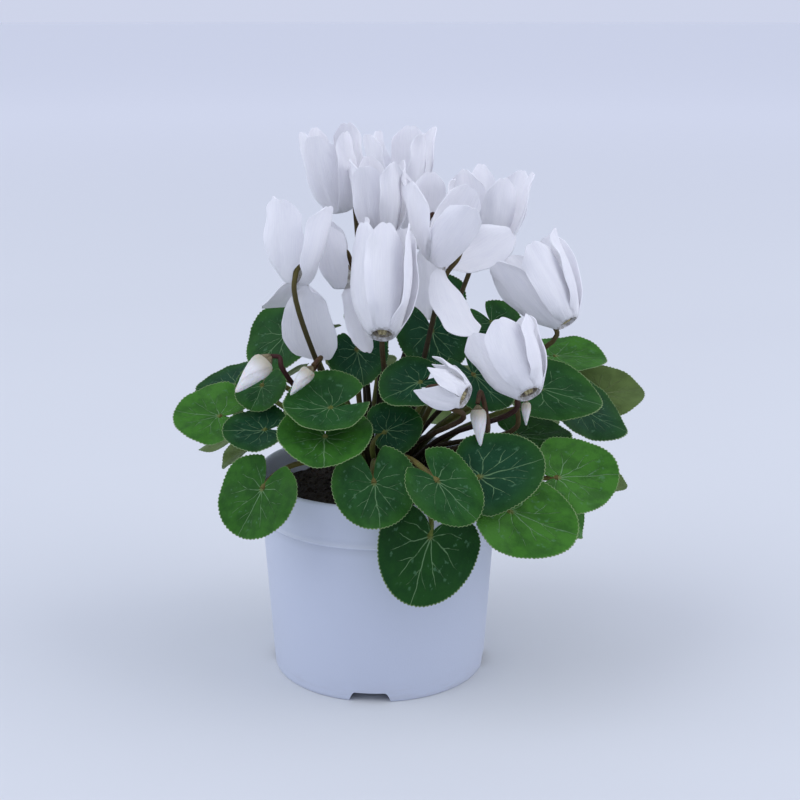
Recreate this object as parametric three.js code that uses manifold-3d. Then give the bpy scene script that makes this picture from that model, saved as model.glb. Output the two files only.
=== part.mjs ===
// Potted cyclamen: white pot, compost, tuber, leaves, flowers and buds.
// Millimetres, +Z up, the front is -Y, origin on the ground at the pot's axis.
import * as THREE from 'three';
import Module from 'manifold-3d';

const wasm = await Module();
wasm.setup();

const DEG = Math.PI / 180;
const FIT_GAP = 0.35;

// Pot
const POT_SIDES = 32;
const POT_HEIGHT = 101;
const FOOT_RADIUS = 53;
const RIM_RADIUS = 60;
const WALL = 1.8;
const BAND_START = 80;
const BAND_PROUD = 0.7;
const FLOOR_RAISE = 5;
const FLOOR_TOP = 7;
const PAD_RADIUS = 18;
const PAD_SLOPE = 3;
const FOOT_RING = 3.2;
const DRAIN_COUNT = 6;
const DRAIN_RADIUS = 4.5;
const DRAIN_CIRCLE = 35;
const DRAIN_SIDES = 8;
const NOTCH_COUNT = 4;
const NOTCH_TURN = -4.3;
const NOTCH_WIDTH = 17;
const NOTCH_HEIGHT = 4.4;

// Compost and tuber
const COMPOST_EDGE = 87;
const COMPOST_MIDDLE = 90;
const COMPOST_BUMP = 0.9;
const COMPOST_SLACK = 0.9;
const COMPOST_SIDES = 20;
const TUBER_RADIUS = 23;
const TUBER_HEIGHT = 15;
const TUBER_CENTRE = 84;
const TUBER_SIDES = 12;
const ROOT_DEPTH = 6;
const HOLE_RADIUS = 2.5;
const HOLE_SIDES = 4;

// Leaves
const BLADE = 0.7;
const LEAF_EDGE = 24;
const LEAF_RING = 6;
const TOOTH = 0.035;
const SINUS = 24;
const LOBE_OVERHANG = 1.15;
const NOTCH_SHARE = 0.1;
const MIDDLE_RING = 0.55;
const WAVE_THREE = 0.05;
const WAVE_FIVE = 0.03;
const LEAF_STALK = 1.25;
const STALK_SIDES = 4;
const STALK_STEPS = 4;
const STALK_SPREAD = 0.12;
const STALK_RISE = 0.32;
const STALK_ARRIVE = 0.28;

// Flowers
const PETAL_BLADE = 0.65;
const PETAL_ROWS = [0.12, 0.42, 0.78, 1];
const SPINE_STEPS = 50;
const PETAL_SHAPE = [[0, 0.2], [0.12, 0.32], [0.28, 0.62], [0.45, 0.9], [0.62, 1], [0.8, 0.92], [1, 0.36]];
const SWEPT_BEND = [[0, -95], [0.03, -55], [0.08, -24], [0.3, -6], [0.62, 6], [1, 14]];
const HANGING_START = 60;
const HANGING_SETTLED = 0.2;
const HANGING_CURL = 8;
const PETAL_TWIST = 18;
const TWIST_SETTLED = 0.3;
const CUP_RADIUS = 5;
const CUP_HEIGHT = 9.6;
const CUP_RINGS = [[4, 8], [5, 0]];
const CALYX_RADIUS = 3.9;
const CALYX_HEIGHT = 3;
const FLOWER_STALK = 1.15;
const STALK_CLEAR = 7.4;
const STALK_START = 1.5;
const STALK_KNOTS = [0, 0.17, 0.34, 0.52, 0.66, 0.8, 1];
const HOOK_FOOT = 12;
const HOOK_RISE = 7;
const BUD_SIDES = 6;
const BUD_FURL = 6;
const BUD_SHAPE = [[0, 0], [0.75, -0.08], [1, -0.3], [0.7, -0.62], [0.25, -0.93], [0, -1]];

const materials = {
  pot: new THREE.MeshStandardMaterial({ color: 0xe4e8f0, roughness: 0.55 }),
  compost: new THREE.MeshStandardMaterial({ color: 0x241a14, roughness: 0.95 }),
  tuber: new THREE.MeshStandardMaterial({ color: 0x4a3426, roughness: 0.9 }),
  leaf: new THREE.MeshStandardMaterial({ color: 0x2f5a2c, roughness: 0.6 }),
  stalk: new THREE.MeshStandardMaterial({ color: 0x6a5a2e, roughness: 0.6 }),
  petal: new THREE.MeshStandardMaterial({ color: 0xf4f3f8, roughness: 0.6 }),
};

// One row a leaf: where the stalk meets the blade (x, y, z), the side that the
// face looks to, its lean from level, the tip's turn from straight down the
// slope, half width, tip length, lobe length, how far the edges are raised and,
// if it is not the usual, the half angle of the notch.
// Leaves in one group share a growing point (ring radius, azimuth).
const leafGroups = [
  { root: [17, 3], leaves: [
    [-1, -73, 117, 0, 62, 8, 19, 21, 15, 0.1],
    [4, -50, 134, 20, 58, 108, 13, 18, 7, 0.1],
  ] },
  { root: [17, 19], leaves: [
    [24, -73, 92, 4, 72, -18, 23, 32, 14, 0.1, 44],
    [27, -82, 121, 12, 66, 40, 15, 24, 13, 0.08],
  ] },
  { root: [17, 35], leaves: [
    [60, -68, 102, 18, 60, 62, 20, 32, 15, 0.12],
    [46, -70, 119, 12, 62, 102, 18.5, 31, 9, 0.1],
  ] },
  { root: [17, 63], leaves: [
    [83, -50, 112, 25, 56, 84, 19, 31, 9, 0.1],
    [66, -30, 126, 15, 24, 62, 18, 25, 10, 0.1],
  ] },
  { root: [17, 82], leaves: [
    [97, -8, 134, 35, 46, 40, 17, 26, 12, 0.1],
    [86, -16, 90, 60, 60, 20, 17, 24, 10, 0.1],
  ] },
  { root: [17, 100], leaves: [
    [110, 24, 132, 150, 62, -105, 17, 25, 11, 0.12],
    [106, 6, 96, 140, 55, -60, 14, 19, 9, 0.1],
  ] },
  { root: [17, 122], leaves: [[72, 48, 122, 125, 42, 0, 20, 28, 12, 0.1]] },
  { root: [17, 145], leaves: [[36, 66, 134, 150, 30, -20, 19, 26, 12, 0.1]] },
  { root: [17, 168], leaves: [[20, 84, 112, 168, 50, 5, 20, 28, 12, 0.1]] },
  { root: [17, 195], leaves: [
    [-10, 66, 138, 182, 30, 10, 19, 26, 12, 0.1],
    [-34, 76, 112, 205, 52, -8, 19, 27, 12, 0.1],
  ] },
  { root: [17, 225], leaves: [[-52, 50, 134, 225, 34, 0, 18, 25, 12, 0.1]] },
  { root: [17, 244], leaves: [[-74, 34, 112, 240, 50, 8, 17, 24, 11, 0.1]] },
  { root: [17, 263], leaves: [
    [-70, 6, 142, -50, 30, -50, 16, 21, 11, 0.1],
    [-62, -8, 116, -120, 52, 20, 15, 19, 9, 0.1],
  ] },
  { root: [17, 285], leaves: [[-75, -24, 134, -14, 36, -88, 18, 22, 12, 0.12]] },
  { root: [17, 306], leaves: [[-52, -44, 133, -15, 30, -75, 14.5, 19, 10, 0.12]] },
  { root: [17, 322], leaves: [[-52, -60, 110, -15, 66, -20, 18.5, 24, 13, 0.1]] },
  { root: [17, 342], leaves: [
    [-23, -62, 135, 0, 30, 0, 21.5, 20, 17, 0.16],
    [-21, -53, 146, -5, 27, -72, 20, 21, 16, 0.25],
  ] },
  { root: [12, 76], leaves: [[45, -29, 155, 18, 46, 25, 16.5, 23, 12, 0.12]] },
  { root: [12, 92], leaves: [
    [76, -27, 148, 5, 42, 68, 17, 30, 9, 0.08],
    [88, 18, 153, 10, 20, 84, 16, 26, 12, 0.06],
  ] },
  { root: [12, 122], leaves: [
    [56, 18, 170, 20, 40, 20, 16, 20, 11, 0.1],
    [28, 46, 179, 10, 40, 10, 16, 20, 12, 0.1],
  ] },
  { root: [12, 210], leaves: [
    [0, 44, 165, 175, 24, 20, 18, 25, 12, 0.1],
    [-36, 44, 158, 215, 26, 0, 18, 24, 12, 0.1],
  ] },
  { root: [12, 275], leaves: [
    [-46, 12, 166, -25, 52, -20, 18, 23, 13, 0.1],
    [-54, -30, 150, -12, 46, -8, 12.5, 14, 10, 0.12],
  ] },
  { root: [12, 12], leaves: [[19.5, -42, 155, 5, 36, -60, 15, 20.5, 11, 0.14]] },
  { root: [7, 335], leaves: [[-10, -12, 163, -5, 50, 15, 15, 20, 10, 0.1]] },
  { root: [7, 84], leaves: [[26, 0, 170, 5, 52, 10, 18, 24, 13, 0.1]] },
];

// One entry a flower: mouth position, the side the flower's top leans to and
// by how much, the side the stalk passes on, how far the stalk bows out (x, y),
// the growing point, petal length and width, and for each petal a turn from the
// stalk, a sweep from the mouth's direction (180 is swept fully back) and, if it
// is not the usual, its twist.
const flowers = [
  { mouth: [-37, -30, 199], lean: [90, 8], side: 0, bow: [-6, -8], root: [7, 300], size: [42, 22],
    petals: [[42, 168], [116, 14, 60], [-168, 55], [-108, 168], [-42, 168]] },
  { mouth: [2.5, -50, 179], lean: [174, 19], side: 180, bow: [3, -3], root: [7, 5], size: [53, 18],
    petals: [[52, 173], [118, 172], [182, 174], [-116, 171], [-52, 173]] },
  { mouth: [-19, 28, 224], lean: [-60, 9], side: 90, root: [7, 230], size: [43, 17],
    petals: [[52, 170], [118, 169], [180, 172], [-118, 170], [-52, 170]] },
  { mouth: [2, 8, 214], lean: [-50, 4], side: 150, root: [2.6, 330], size: [40, 17],
    petals: [[52, 171], [118, 172], [180, 172], [-118, 171], [-52, 171]] },
  { mouth: [12, 60, 223], lean: [-60, 3], side: 340, root: [7, 180], size: [42, 18],
    petals: [[58, 165], [118, 165], [180, 166], [-118, 164], [-58, 165]] },
  { mouth: [27, -16, 206], lean: [78, 34], side: 78, bow: [6, -10], root: [2.6, 40], size: [40, 21],
    petals: [[50, 138], [114, 162], [-150, 140], [-88, 163], [-38, 70, -15]] },
  { mouth: [55, 36, 202], lean: [60, 4], side: 250, bow: [6, 2], root: [7, 140], size: [46, 19],
    petals: [[52, 165], [118, 164], [180, 165], [-118, 164], [-52, 165]] },
  { mouth: [90, -10, 176], lean: [-112, 34], side: -108, bow: [3, 3], root: [7, 112], size: [46, 20],
    petals: [[52, 165], [118, 164], [180, 167], [-118, 164], [-52, 165]] },
  { mouth: [68, -62, 155], lean: [-132, 32], side: -120, root: [12, 44], size: [37, 19],
    petals: [[52, 167], [118, 167], [180, 167], [-118, 167], [-52, 167]] },
  { mouth: [39, -74, 157], lean: [-104, 68], side: -100, root: [12, 29], size: [22, 11],
    petals: [[56, 168], [118, 164], [180, 168], [-118, 164], [-56, 168]] },
  { mouth: [-15, -10, 193], lean: [225, 8], side: 150, root: [2.6, 240], size: [36, 17],
    petals: [[52, 169], [118, 168], [180, 169], [-128, 20], [-52, 169]] },
  { mouth: [23, 27, 206], lean: [20, 4], side: 120, root: [2.6, 150], size: [38, 17],
    petals: [[52, 170], [118, 171], [180, 171], [-118, 25], [-52, 170]] },
];

// One entry a bud: top of the bud, the way it points, the side its stalk
// passes on and how far clear of the bud, how far the stalk bows out (x, y),
// its growing point, and the bud's length and radius.
const buds = [
  { top: [-50, -42, 166], point: [-60, 50], side: 95, clear: 9, bow: [3, -1], root: [12, 318],
    size: [21, 5.5] },
  { top: [-30, -48, 163], point: [-70, 40], side: 165, clear: 12, root: [12, 340], size: [15, 3.6] },
  { top: [45, -64, 149], point: [20, 12], side: 150, clear: 7, root: [17, 49], size: [17, 3.6] },
  { top: [68, -46, 147], point: [0, 10], side: 220, clear: 6, root: [7, 58], size: [11, 2.2] },
];

function vector(x, y, z) {
  return new THREE.Vector3(x, y, z);
}

// Compass direction: 0 is the front (-Y), 90 is the right (+X).
function compass(azimuth, down) {
  const flat = Math.cos(down * DEG);
  return vector(Math.sin(azimuth * DEG) * flat, -Math.cos(azimuth * DEG) * flat, -Math.sin(down * DEG));
}

function mix(a, b, share) {
  return a + (b - a) * share;
}

function smooth(from, to, value) {
  const t = Math.min(1, Math.max(0, (value - from) / (to - from)));
  return t * t * (3 - 2 * t);
}

function profileAt(profile, at) {
  for (let i = 1; i < profile.length; i += 1) {
    const [end, value] = profile[i];
    const [start, before] = profile[i - 1];
    if (at <= end) return mix(before, value, (at - start) / (end - start));
  }
  return profile[profile.length - 1][1];
}

function seeded(seed) {
  let state = seed;
  return () => {
    state = (state * 1103515245 + 12345) % 2147483648;
    return state / 2147483648;
  };
}

function toManifold(points, triangles) {
  const vertProperties = new Float32Array(points.length * 3);
  points.forEach((p, i) => vertProperties.set([p.x, p.y, p.z], i * 3));
  const mesh = new wasm.Mesh({ numProp: 3, vertProperties, triVerts: new Uint32Array(triangles.flat()) });
  return new wasm.Manifold(mesh);
}

// Closed skin over rings with the same number of points, first and last capped.
function skin(rings) {
  const sides = rings[0].length;
  const points = rings.flat();
  const triangles = [];
  for (let r = 0; r + 1 < rings.length; r += 1) {
    for (let i = 0; i < sides; i += 1) {
      const a = r * sides + i;
      const b = r * sides + ((i + 1) % sides);
      triangles.push([a, b, b + sides], [a, b + sides, a + sides]);
    }
  }
  const last = (rings.length - 1) * sides;
  for (let i = 1; i + 1 < sides; i += 1) {
    triangles.push([0, i + 1, i]);
    triangles.push([last, last + i, last + i + 1]);
  }
  return toManifold(points, triangles);
}

// Solid of revolution: profile of [radius, height] from axis to axis.
function turned(profile, sides, place) {
  const points = [place(0, profile[0][1], 0)];
  const inner = profile.slice(1, -1);
  inner.forEach(([radius, height]) => {
    for (let i = 0; i < sides; i += 1) points.push(place(radius, height, (i * 360) / sides));
  });
  points.push(place(0, profile[profile.length - 1][1], 0));
  const triangles = [];
  const end = points.length - 1;
  for (let i = 0; i < sides; i += 1) {
    const next = (i + 1) % sides;
    triangles.push([0, 1 + next, 1 + i]);
    triangles.push([end, end - sides + i, end - sides + next]);
    for (let r = 0; r + 1 < inner.length; r += 1) {
      const a = 1 + r * sides + i;
      const b = 1 + r * sides + next;
      triangles.push([a, b, b + sides], [a, b + sides, a + sides]);
    }
  }
  return toManifold(points, triangles);
}

function upright(radius, height, angle) {
  const flat = compass(angle, 0).multiplyScalar(radius);
  return flat.setZ(height);
}

// Round rod along a path; each ring turns as little as possible from the last.
function rod(path, radii, sides) {
  const side = vector(1, 0.3, 0.1);
  const rings = path.map((at, i) => {
    const before = path[Math.max(0, i - 1)];
    const after = path[Math.min(path.length - 1, i + 1)];
    const along = after.clone().sub(before).normalize();
    side.addScaledVector(along, -side.dot(along)).normalize();
    const other = along.clone().cross(side);
    const ring = [];
    for (let k = 0; k < sides; k += 1) {
      const turn = (k * 2 * Math.PI) / sides;
      ring.push(at.clone()
        .addScaledVector(side, Math.cos(turn) * radii[i])
        .addScaledVector(other, Math.sin(turn) * radii[i]));
    }
    return ring;
  });
  return skin(rings);
}

// Thin plate: both faces carry the same triangles, joined round the outline.
function plate(points, triangles, outline, thickness) {
  const normals = points.map(() => vector(0, 0, 0));
  triangles.forEach(([a, b, c]) => {
    const face = points[b].clone().sub(points[a]).cross(points[c].clone().sub(points[a]));
    [a, b, c].forEach((i) => normals[i].add(face));
  });
  const lift = (sign) => points.map((p, i) => (
    p.clone().addScaledVector(normals[i].clone().normalize(), (sign * thickness) / 2)));
  const count = points.length;
  const all = [...lift(1), ...lift(-1)];
  const faces = [...triangles, ...triangles.map(([a, b, c]) => [a + count, c + count, b + count])];
  outline.forEach((a, i) => {
    const b = outline[(i + 1) % outline.length];
    faces.push([a, a + count, b + count], [a, b + count, b]);
  });
  return toManifold(all, faces);
}

function joined(solids) {
  return solids.reduce((sum, next) => sum.add(next));
}

function rootPoint([ring, azimuth], height) {
  return compass(azimuth, 0).multiplyScalar(ring).setZ(height);
}

function tuberTop(ring) {
  return TUBER_CENTRE + TUBER_HEIGHT * Math.sqrt(1 - (ring / TUBER_RADIUS) ** 2);
}

// Heart-shaped outline: distance from the stalk at an angle from the tip.
function leafReach(angle, half, tip, lobe, sinus) {
  const across = Math.sin(angle) / half;
  const along = Math.cos(angle) / (Math.cos(angle) > 0 ? tip : lobe * LOBE_OVERHANG);
  const reach = 1 / Math.hypot(across, along);
  const open = smooth(0, sinus * DEG, Math.PI - Math.abs(angle));
  return reach * mix(NOTCH_SHARE, 1, open);
}

// Height of the blade over its own plane: raised edges and a gentle wave.
function leafRise(angle, reach, half, raise, seed) {
  const out = reach / half;
  const wave = Math.sin(3 * angle + seed * 1.7) * WAVE_THREE + Math.sin(5 * angle + seed) * WAVE_FIVE;
  return half * (raise * out ** 1.6 + wave * out * out);
}

function leafFrame([x, y, z, face, lean, spin]) {
  const down = compass(face, lean);
  const right = compass(face + 90, 0);
  const normal = compass(face, lean - 90);
  const tip = down.clone().multiplyScalar(Math.cos(spin * DEG)).addScaledVector(right, Math.sin(spin * DEG));
  return { at: vector(x, y, z), tip, across: normal.clone().cross(tip), normal };
}

function leafBlade(row, seed) {
  const { at, tip, across, normal } = leafFrame(row);
  const [half, tipLength, lobe, raise, sinus = SINUS] = row.slice(6);
  const point = (angle, share, tooth) => {
    const reach = leafReach(angle, half, tipLength, lobe, sinus) * share * tooth;
    return at.clone()
      .addScaledVector(tip, reach * Math.cos(angle))
      .addScaledVector(across, reach * Math.sin(angle))
      .addScaledVector(normal, leafRise(angle, reach, half, raise, seed));
  };
  const points = [at.clone()];
  const ringAngle = (i) => -Math.PI + (i * 2 * Math.PI) / LEAF_RING;
  const edgeAngle = (i) => -Math.PI + (i * 2 * Math.PI) / LEAF_EDGE;
  for (let i = 0; i < LEAF_RING; i += 1) points.push(point(ringAngle(i), MIDDLE_RING, 1));
  for (let i = 0; i < LEAF_EDGE; i += 1) {
    points.push(point(edgeAngle(i), 1, i % 2 ? 1 + TOOTH : 1 - TOOTH));
  }
  const triangles = [];
  for (let i = 0; i < LEAF_RING; i += 1) triangles.push([0, 1 + i, 1 + ((i + 1) % LEAF_RING)]);
  let ring = 0;
  for (let i = 0; i < LEAF_EDGE; i += 1) {
    const a = 1 + LEAF_RING + i;
    const b = 1 + LEAF_RING + ((i + 1) % LEAF_EDGE);
    while ((ring + 0.5) / LEAF_RING < i / LEAF_EDGE) {
      triangles.push([1 + (ring % LEAF_RING), a, 1 + ((ring + 1) % LEAF_RING)]);
      ring += 1;
    }
    triangles.push([1 + (ring % LEAF_RING), a, b]);
  }
  while (ring < LEAF_RING) {
    triangles.push([1 + (ring % LEAF_RING), 1 + LEAF_RING, 1 + ((ring + 1) % LEAF_RING)]);
    ring += 1;
  }
  const outline = Array.from({ length: LEAF_EDGE }, (_, i) => 1 + LEAF_RING + i);
  return plate(points, triangles, outline, BLADE);
}

// Stalk of a leaf: straight out of its hole, over in an arc, to the blade's notch.
function leafStalk(row, root) {
  const { at, tip, normal } = leafFrame(row);
  const lean = row[4] / 90;
  const along = tip.clone().multiplyScalar(0.35 + 0.6 * lean).addScaledVector(normal, 0.65 - 0.6 * lean);
  along.normalize();
  const top = tuberTop(root[0]);
  const start = rootPoint(root, top + STALK_START);
  const reach = start.distanceTo(at);
  const flat = vector(at.x - start.x, at.y - start.y, 0).normalize();
  const lift = start.clone().addScaledVector(flat, reach * STALK_SPREAD);
  lift.z += reach * STALK_RISE;
  const arrive = at.clone().addScaledVector(along, -reach * STALK_ARRIVE);
  const curve = new THREE.CubicBezierCurve3(start, lift, arrive, at.clone().addScaledVector(normal, 0.2));
  const path = [rootPoint(root, top - ROOT_DEPTH), ...curve.getPoints(STALK_STEPS)];
  return rod(path, path.map((_, i) => LEAF_STALK * mix(1.1, 0.85, i / STALK_STEPS)), STALK_SIDES);
}

function flowerFrame(position, [azimuth, angle], side) {
  const up = compass(azimuth, angle - 90);
  const out = compass(side, 0);
  out.addScaledVector(up, -out.dot(up)).normalize();
  return { at: vector(...position), up, out, across: up.clone().cross(out) };
}

// Point of a flower: distance from its axis at a turn, and height over the mouth.
function flowerPoint(frame, radius, height, turn) {
  return frame.at.clone()
    .addScaledVector(frame.out, radius * Math.cos(turn * DEG))
    .addScaledVector(frame.across, radius * Math.sin(turn * DEG))
    .addScaledVector(frame.up, height);
}

// Centre line of a petal as [radius, height, angle] steps from the mouth.
function petalSpine(sweep, length) {
  const spine = [[CUP_RADIUS, 0, HANGING_START]];
  for (let i = 1; i <= SPINE_STEPS; i += 1) {
    const [radius, height] = spine[i - 1];
    const share = i / SPINE_STEPS;
    const swept = sweep + profileAt(SWEPT_BEND, share);
    const hanging = mix(HANGING_START, sweep, smooth(0, HANGING_SETTLED, share)) + HANGING_CURL * share;
    const angle = sweep > 90 ? swept : hanging;
    const step = length / SPINE_STEPS;
    spine.push([radius + Math.sin(angle * DEG) * step, height - Math.cos(angle * DEG) * step, angle]);
  }
  return spine;
}

// Three points across a petal at one share of its length.
function petalRow(frame, [turn, sweep, turned = PETAL_TWIST], spine, at, width) {
  const outward = frame.out.clone().multiplyScalar(Math.cos(turn * DEG))
    .addScaledVector(frame.across, Math.sin(turn * DEG));
  const sideways = frame.up.clone().cross(outward);
  const [radius, height, angle] = spine[Math.round(at * SPINE_STEPS)];
  const half = (width / 2) * profileAt(PETAL_SHAPE, at);
  const twist = turned * DEG * smooth(0, TWIST_SETTLED, at);
  const facing = outward.clone().multiplyScalar(Math.cos(angle * DEG))
    .addScaledVector(frame.up, Math.sin(angle * DEG));
  const inward = sweep > 90 ? 1 : -1;
  return [-half, 0, half].map((across) => {
    const sag = (across * across) / (2 * Math.max(CUP_RADIUS, radius));
    return flowerPoint(frame, 0, height, 0)
      .addScaledVector(outward, radius)
      .addScaledVector(sideways, across * Math.cos(twist))
      .addScaledVector(facing, (across * Math.sin(twist) + sag) * inward);
  });
}

// The whole flower in one sheet: domed tube, mouth, and five swept petals.
function corolla(frame, petals, length, width) {
  const points = [flowerPoint(frame, 0, CUP_HEIGHT, 0)];
  const turns = petals.map(([turn]) => (turn + 360) % 360).sort((p, q) => p - q);
  const around = turns.flatMap((turn, i) => {
    const next = i + 1 < turns.length ? turns[i + 1] : turns[0] + 360;
    return [turn, (turn + next) / 2];
  });
  const columns = around.length;
  const triangles = [];
  CUP_RINGS.forEach(([radius, height], r) => {
    around.forEach((turn, i) => {
      points.push(flowerPoint(frame, radius, height, turn));
      const a = 1 + r * columns + i;
      const b = 1 + r * columns + ((i + 1) % columns);
      if (r === 0) triangles.push([0, a, b]);
      else triangles.push([a - columns, a, b], [a - columns, b, b - columns]);
    });
  });
  const mouth = 1 + (CUP_RINGS.length - 1) * columns;
  const outline = [];
  turns.forEach((turn, i) => {
    const petal = petals.find(([other]) => (other + 360) % 360 === turn);
    const spine = petalSpine(petal[1], length);
    const centre = mouth + 2 * i;
    let row = [mouth + ((2 * i + columns - 1) % columns), centre, centre + 1];
    const rim = [[row[0]], [], [row[2]]];
    PETAL_ROWS.forEach((at) => {
      const first = points.length;
      points.push(...petalRow(frame, petal, spine, at, width));
      const next = [first, first + 1, first + 2];
      [0, 1].forEach((k) => {
        triangles.push([row[k], next[k], next[k + 1]], [row[k], next[k + 1], row[k + 1]]);
      });
      row = next;
      rim[0].push(first);
      rim[2].push(first + 2);
    });
    outline.push(...rim[0], row[1], ...rim[2].reverse().slice(0, -1));
  });
  return plate(points, triangles, outline, PETAL_BLADE);
}

function calyx(frame, base) {
  const profile = [
    [0, base + FIT_GAP], [CALYX_RADIUS * 0.6, base + FIT_GAP],
    [CALYX_RADIUS * 0.75, base + CALYX_HEIGHT * 0.6], [0, base + CALYX_HEIGHT],
  ];
  return turned(profile, STALK_SIDES, (radius, height, turn) => flowerPoint(frame, radius, height, turn));
}

// Stalk of a flower or bud: up past its side, over in a hook and down on its top.
function hookedStalk(frame, root, base, clear, bow = [0, 0]) {
  const top = tuberTop(root[0]);
  const start = rootPoint(root, top + STALK_START);
  const beside = flowerPoint(frame, clear, base - HOOK_FOOT, 0);
  const middle = start.clone().lerp(beside, 0.5);
  middle.x = mix(middle.x, start.x, 0.25) + bow[0];
  middle.y = mix(middle.y, start.y, 0.25) + bow[1];
  const knots = [
    start, middle, beside, flowerPoint(frame, clear, base - 1, 0),
    flowerPoint(frame, clear * 0.5, base + HOOK_RISE, 0), flowerPoint(frame, 0, base + CALYX_HEIGHT * 0.7, 0),
  ];
  const curve = new THREE.CatmullRomCurve3(knots, false, 'centripetal');
  const path = [rootPoint(root, top - ROOT_DEPTH)];
  STALK_KNOTS.forEach((at) => path.push(curve.getPoint(at)));
  return rod(path, path.map(() => FLOWER_STALK), STALK_SIDES);
}

function budBody(frame, length, radius) {
  const scaled = BUD_SHAPE.map(([r, h]) => [r * radius, h * length]).reverse();
  return turned(scaled, BUD_SIDES, (r, h, turn) => flowerPoint(frame, r, h, turn - h * BUD_FURL));
}

function pot() {
  const slope = (height) => mix(FOOT_RADIUS, RIM_RADIUS - BAND_PROUD, height / POT_HEIGHT);
  const profile = [
    [0, 0], [PAD_RADIUS, 0], [PAD_RADIUS + PAD_SLOPE, FLOOR_RAISE],
    [FOOT_RADIUS - FOOT_RING, FLOOR_RAISE], [FOOT_RADIUS - FOOT_RING + 1, 0], [FOOT_RADIUS, 0],
    [slope(BAND_START), BAND_START], [slope(BAND_START) + BAND_PROUD, BAND_START + 0.6],
    [RIM_RADIUS, POT_HEIGHT - 0.8], [RIM_RADIUS - 0.6, POT_HEIGHT], [RIM_RADIUS - 1.8, POT_HEIGHT],
    [RIM_RADIUS - WALL - BAND_PROUD, POT_HEIGHT - 1.4], [slope(FLOOR_TOP) - WALL, FLOOR_TOP],
    [PAD_RADIUS + PAD_SLOPE - 2, FLOOR_TOP], [PAD_RADIUS - 2, FLOOR_TOP - FLOOR_RAISE],
    [0, FLOOR_TOP - FLOOR_RAISE],
  ];
  let body = turned(profile, POT_SIDES, upright);
  for (let i = 0; i < DRAIN_COUNT; i += 1) {
    const centre = compass((i * 360) / DRAIN_COUNT, 0).multiplyScalar(DRAIN_CIRCLE);
    const path = [centre.clone().setZ(-1), centre.clone().setZ(FLOOR_TOP + 2)];
    body = body.subtract(rod(path, [DRAIN_RADIUS, DRAIN_RADIUS], DRAIN_SIDES));
  }
  for (let i = 0; i < NOTCH_COUNT; i += 1) {
    const turn = NOTCH_TURN + (i * 360) / NOTCH_COUNT;
    const ahead = compass(turn, 0);
    const side = compass(turn + 90, 0);
    const ring = (radius) => [[-0.53, -1], [0.53, -1], [0.5, NOTCH_HEIGHT - 1.2], [0.42, NOTCH_HEIGHT],
      [-0.42, NOTCH_HEIGHT], [-0.5, NOTCH_HEIGHT - 1.2]].map(([across, height]) => (
      ahead.clone().multiplyScalar(radius).addScaledVector(side, across * NOTCH_WIDTH).setZ(height)));
    body = body.subtract(skin([ring(FOOT_RADIUS - FOOT_RING - 2), ring(FOOT_RADIUS + 4)]));
  }
  return body;
}

const budFrames = buds.map(({ top, point: [azimuth, angle], side }) => (
  flowerFrame(top, [azimuth + 180, angle], side)));
const allRoots = [...leafGroups, ...flowers, ...buds].map(({ root }) => root);

function tuberBody(grow) {
  const steps = [-1, -0.7, 0, 0.6, 0.9, 1];
  const profile = steps.map((h) => [
    (TUBER_RADIUS + grow) * Math.sqrt(1 - h * h), TUBER_CENTRE + h * (TUBER_HEIGHT + grow)]);
  return turned(profile, TUBER_SIDES, upright);
}

function tuber() {
  const holes = allRoots.map((root) => {
    const path = [rootPoint(root, tuberTop(root[0]) - ROOT_DEPTH - FIT_GAP), rootPoint(root, POT_HEIGHT + 5)];
    return rod(path, [HOLE_RADIUS, HOLE_RADIUS], HOLE_SIDES);
  });
  return tuberBody(0).subtract(joined(holes));
}

function compost() {
  const margin = WALL + COMPOST_SLACK;
  const inside = (height) => mix(FOOT_RADIUS, RIM_RADIUS - BAND_PROUD, height / POT_HEIGHT) - margin;
  const random = seeded(7);
  const bump = () => (random() - 0.5) * 2 * COMPOST_BUMP;
  const profile = [
    [0, FLOOR_TOP + FIT_GAP], [inside(FLOOR_TOP), FLOOR_TOP + FIT_GAP], [inside(COMPOST_EDGE), COMPOST_EDGE],
    [48, COMPOST_EDGE + 0.5], [38, COMPOST_MIDDLE - 1], [29, COMPOST_MIDDLE], [0, COMPOST_MIDDLE],
  ];
  const body = turned(profile, COMPOST_SIDES, (radius, height, turn) => {
    const top = height >= COMPOST_EDGE && radius > 0;
    return upright(radius, top ? height + bump() : height, turn);
  });
  return body.subtract(tuberBody(FIT_GAP));
}

const group = new THREE.Group();
group.name = 'potted_cyclamen';

function addNode(name, solid, material) {
  const mesh = solid.getMesh();
  const geometry = new THREE.BufferGeometry();
  const positions = new Float32Array(mesh.numVert * 3);
  for (let i = 0; i < mesh.numVert; i += 1) {
    for (let k = 0; k < 3; k += 1) positions[i * 3 + k] = mesh.vertProperties[i * mesh.numProp + k];
  }
  geometry.setAttribute('position', new THREE.BufferAttribute(positions, 3));
  geometry.setIndex(new THREE.BufferAttribute(new Uint32Array(mesh.triVerts), 1));
  geometry.computeVertexNormals();
  const node = new THREE.Mesh(geometry, material);
  node.name = name;
  group.add(node);
}

function numbered(stem, index, ending = '') {
  return `${stem}_${String(index + 1).padStart(2, '0')}${ending}`;
}

addNode('pot', pot(), materials.pot);
addNode('compost', compost(), materials.compost);
addNode('tuber', tuber(), materials.tuber);

let leafSeed = 0;
leafGroups.forEach(({ root, leaves }, i) => {
  const solids = leaves.flatMap((row) => {
    leafSeed += 1;
    return [leafStalk(row, root), leafBlade(row, leafSeed)];
  });
  addNode(numbered('leaf', i), joined(solids), materials.leaf);
});

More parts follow.
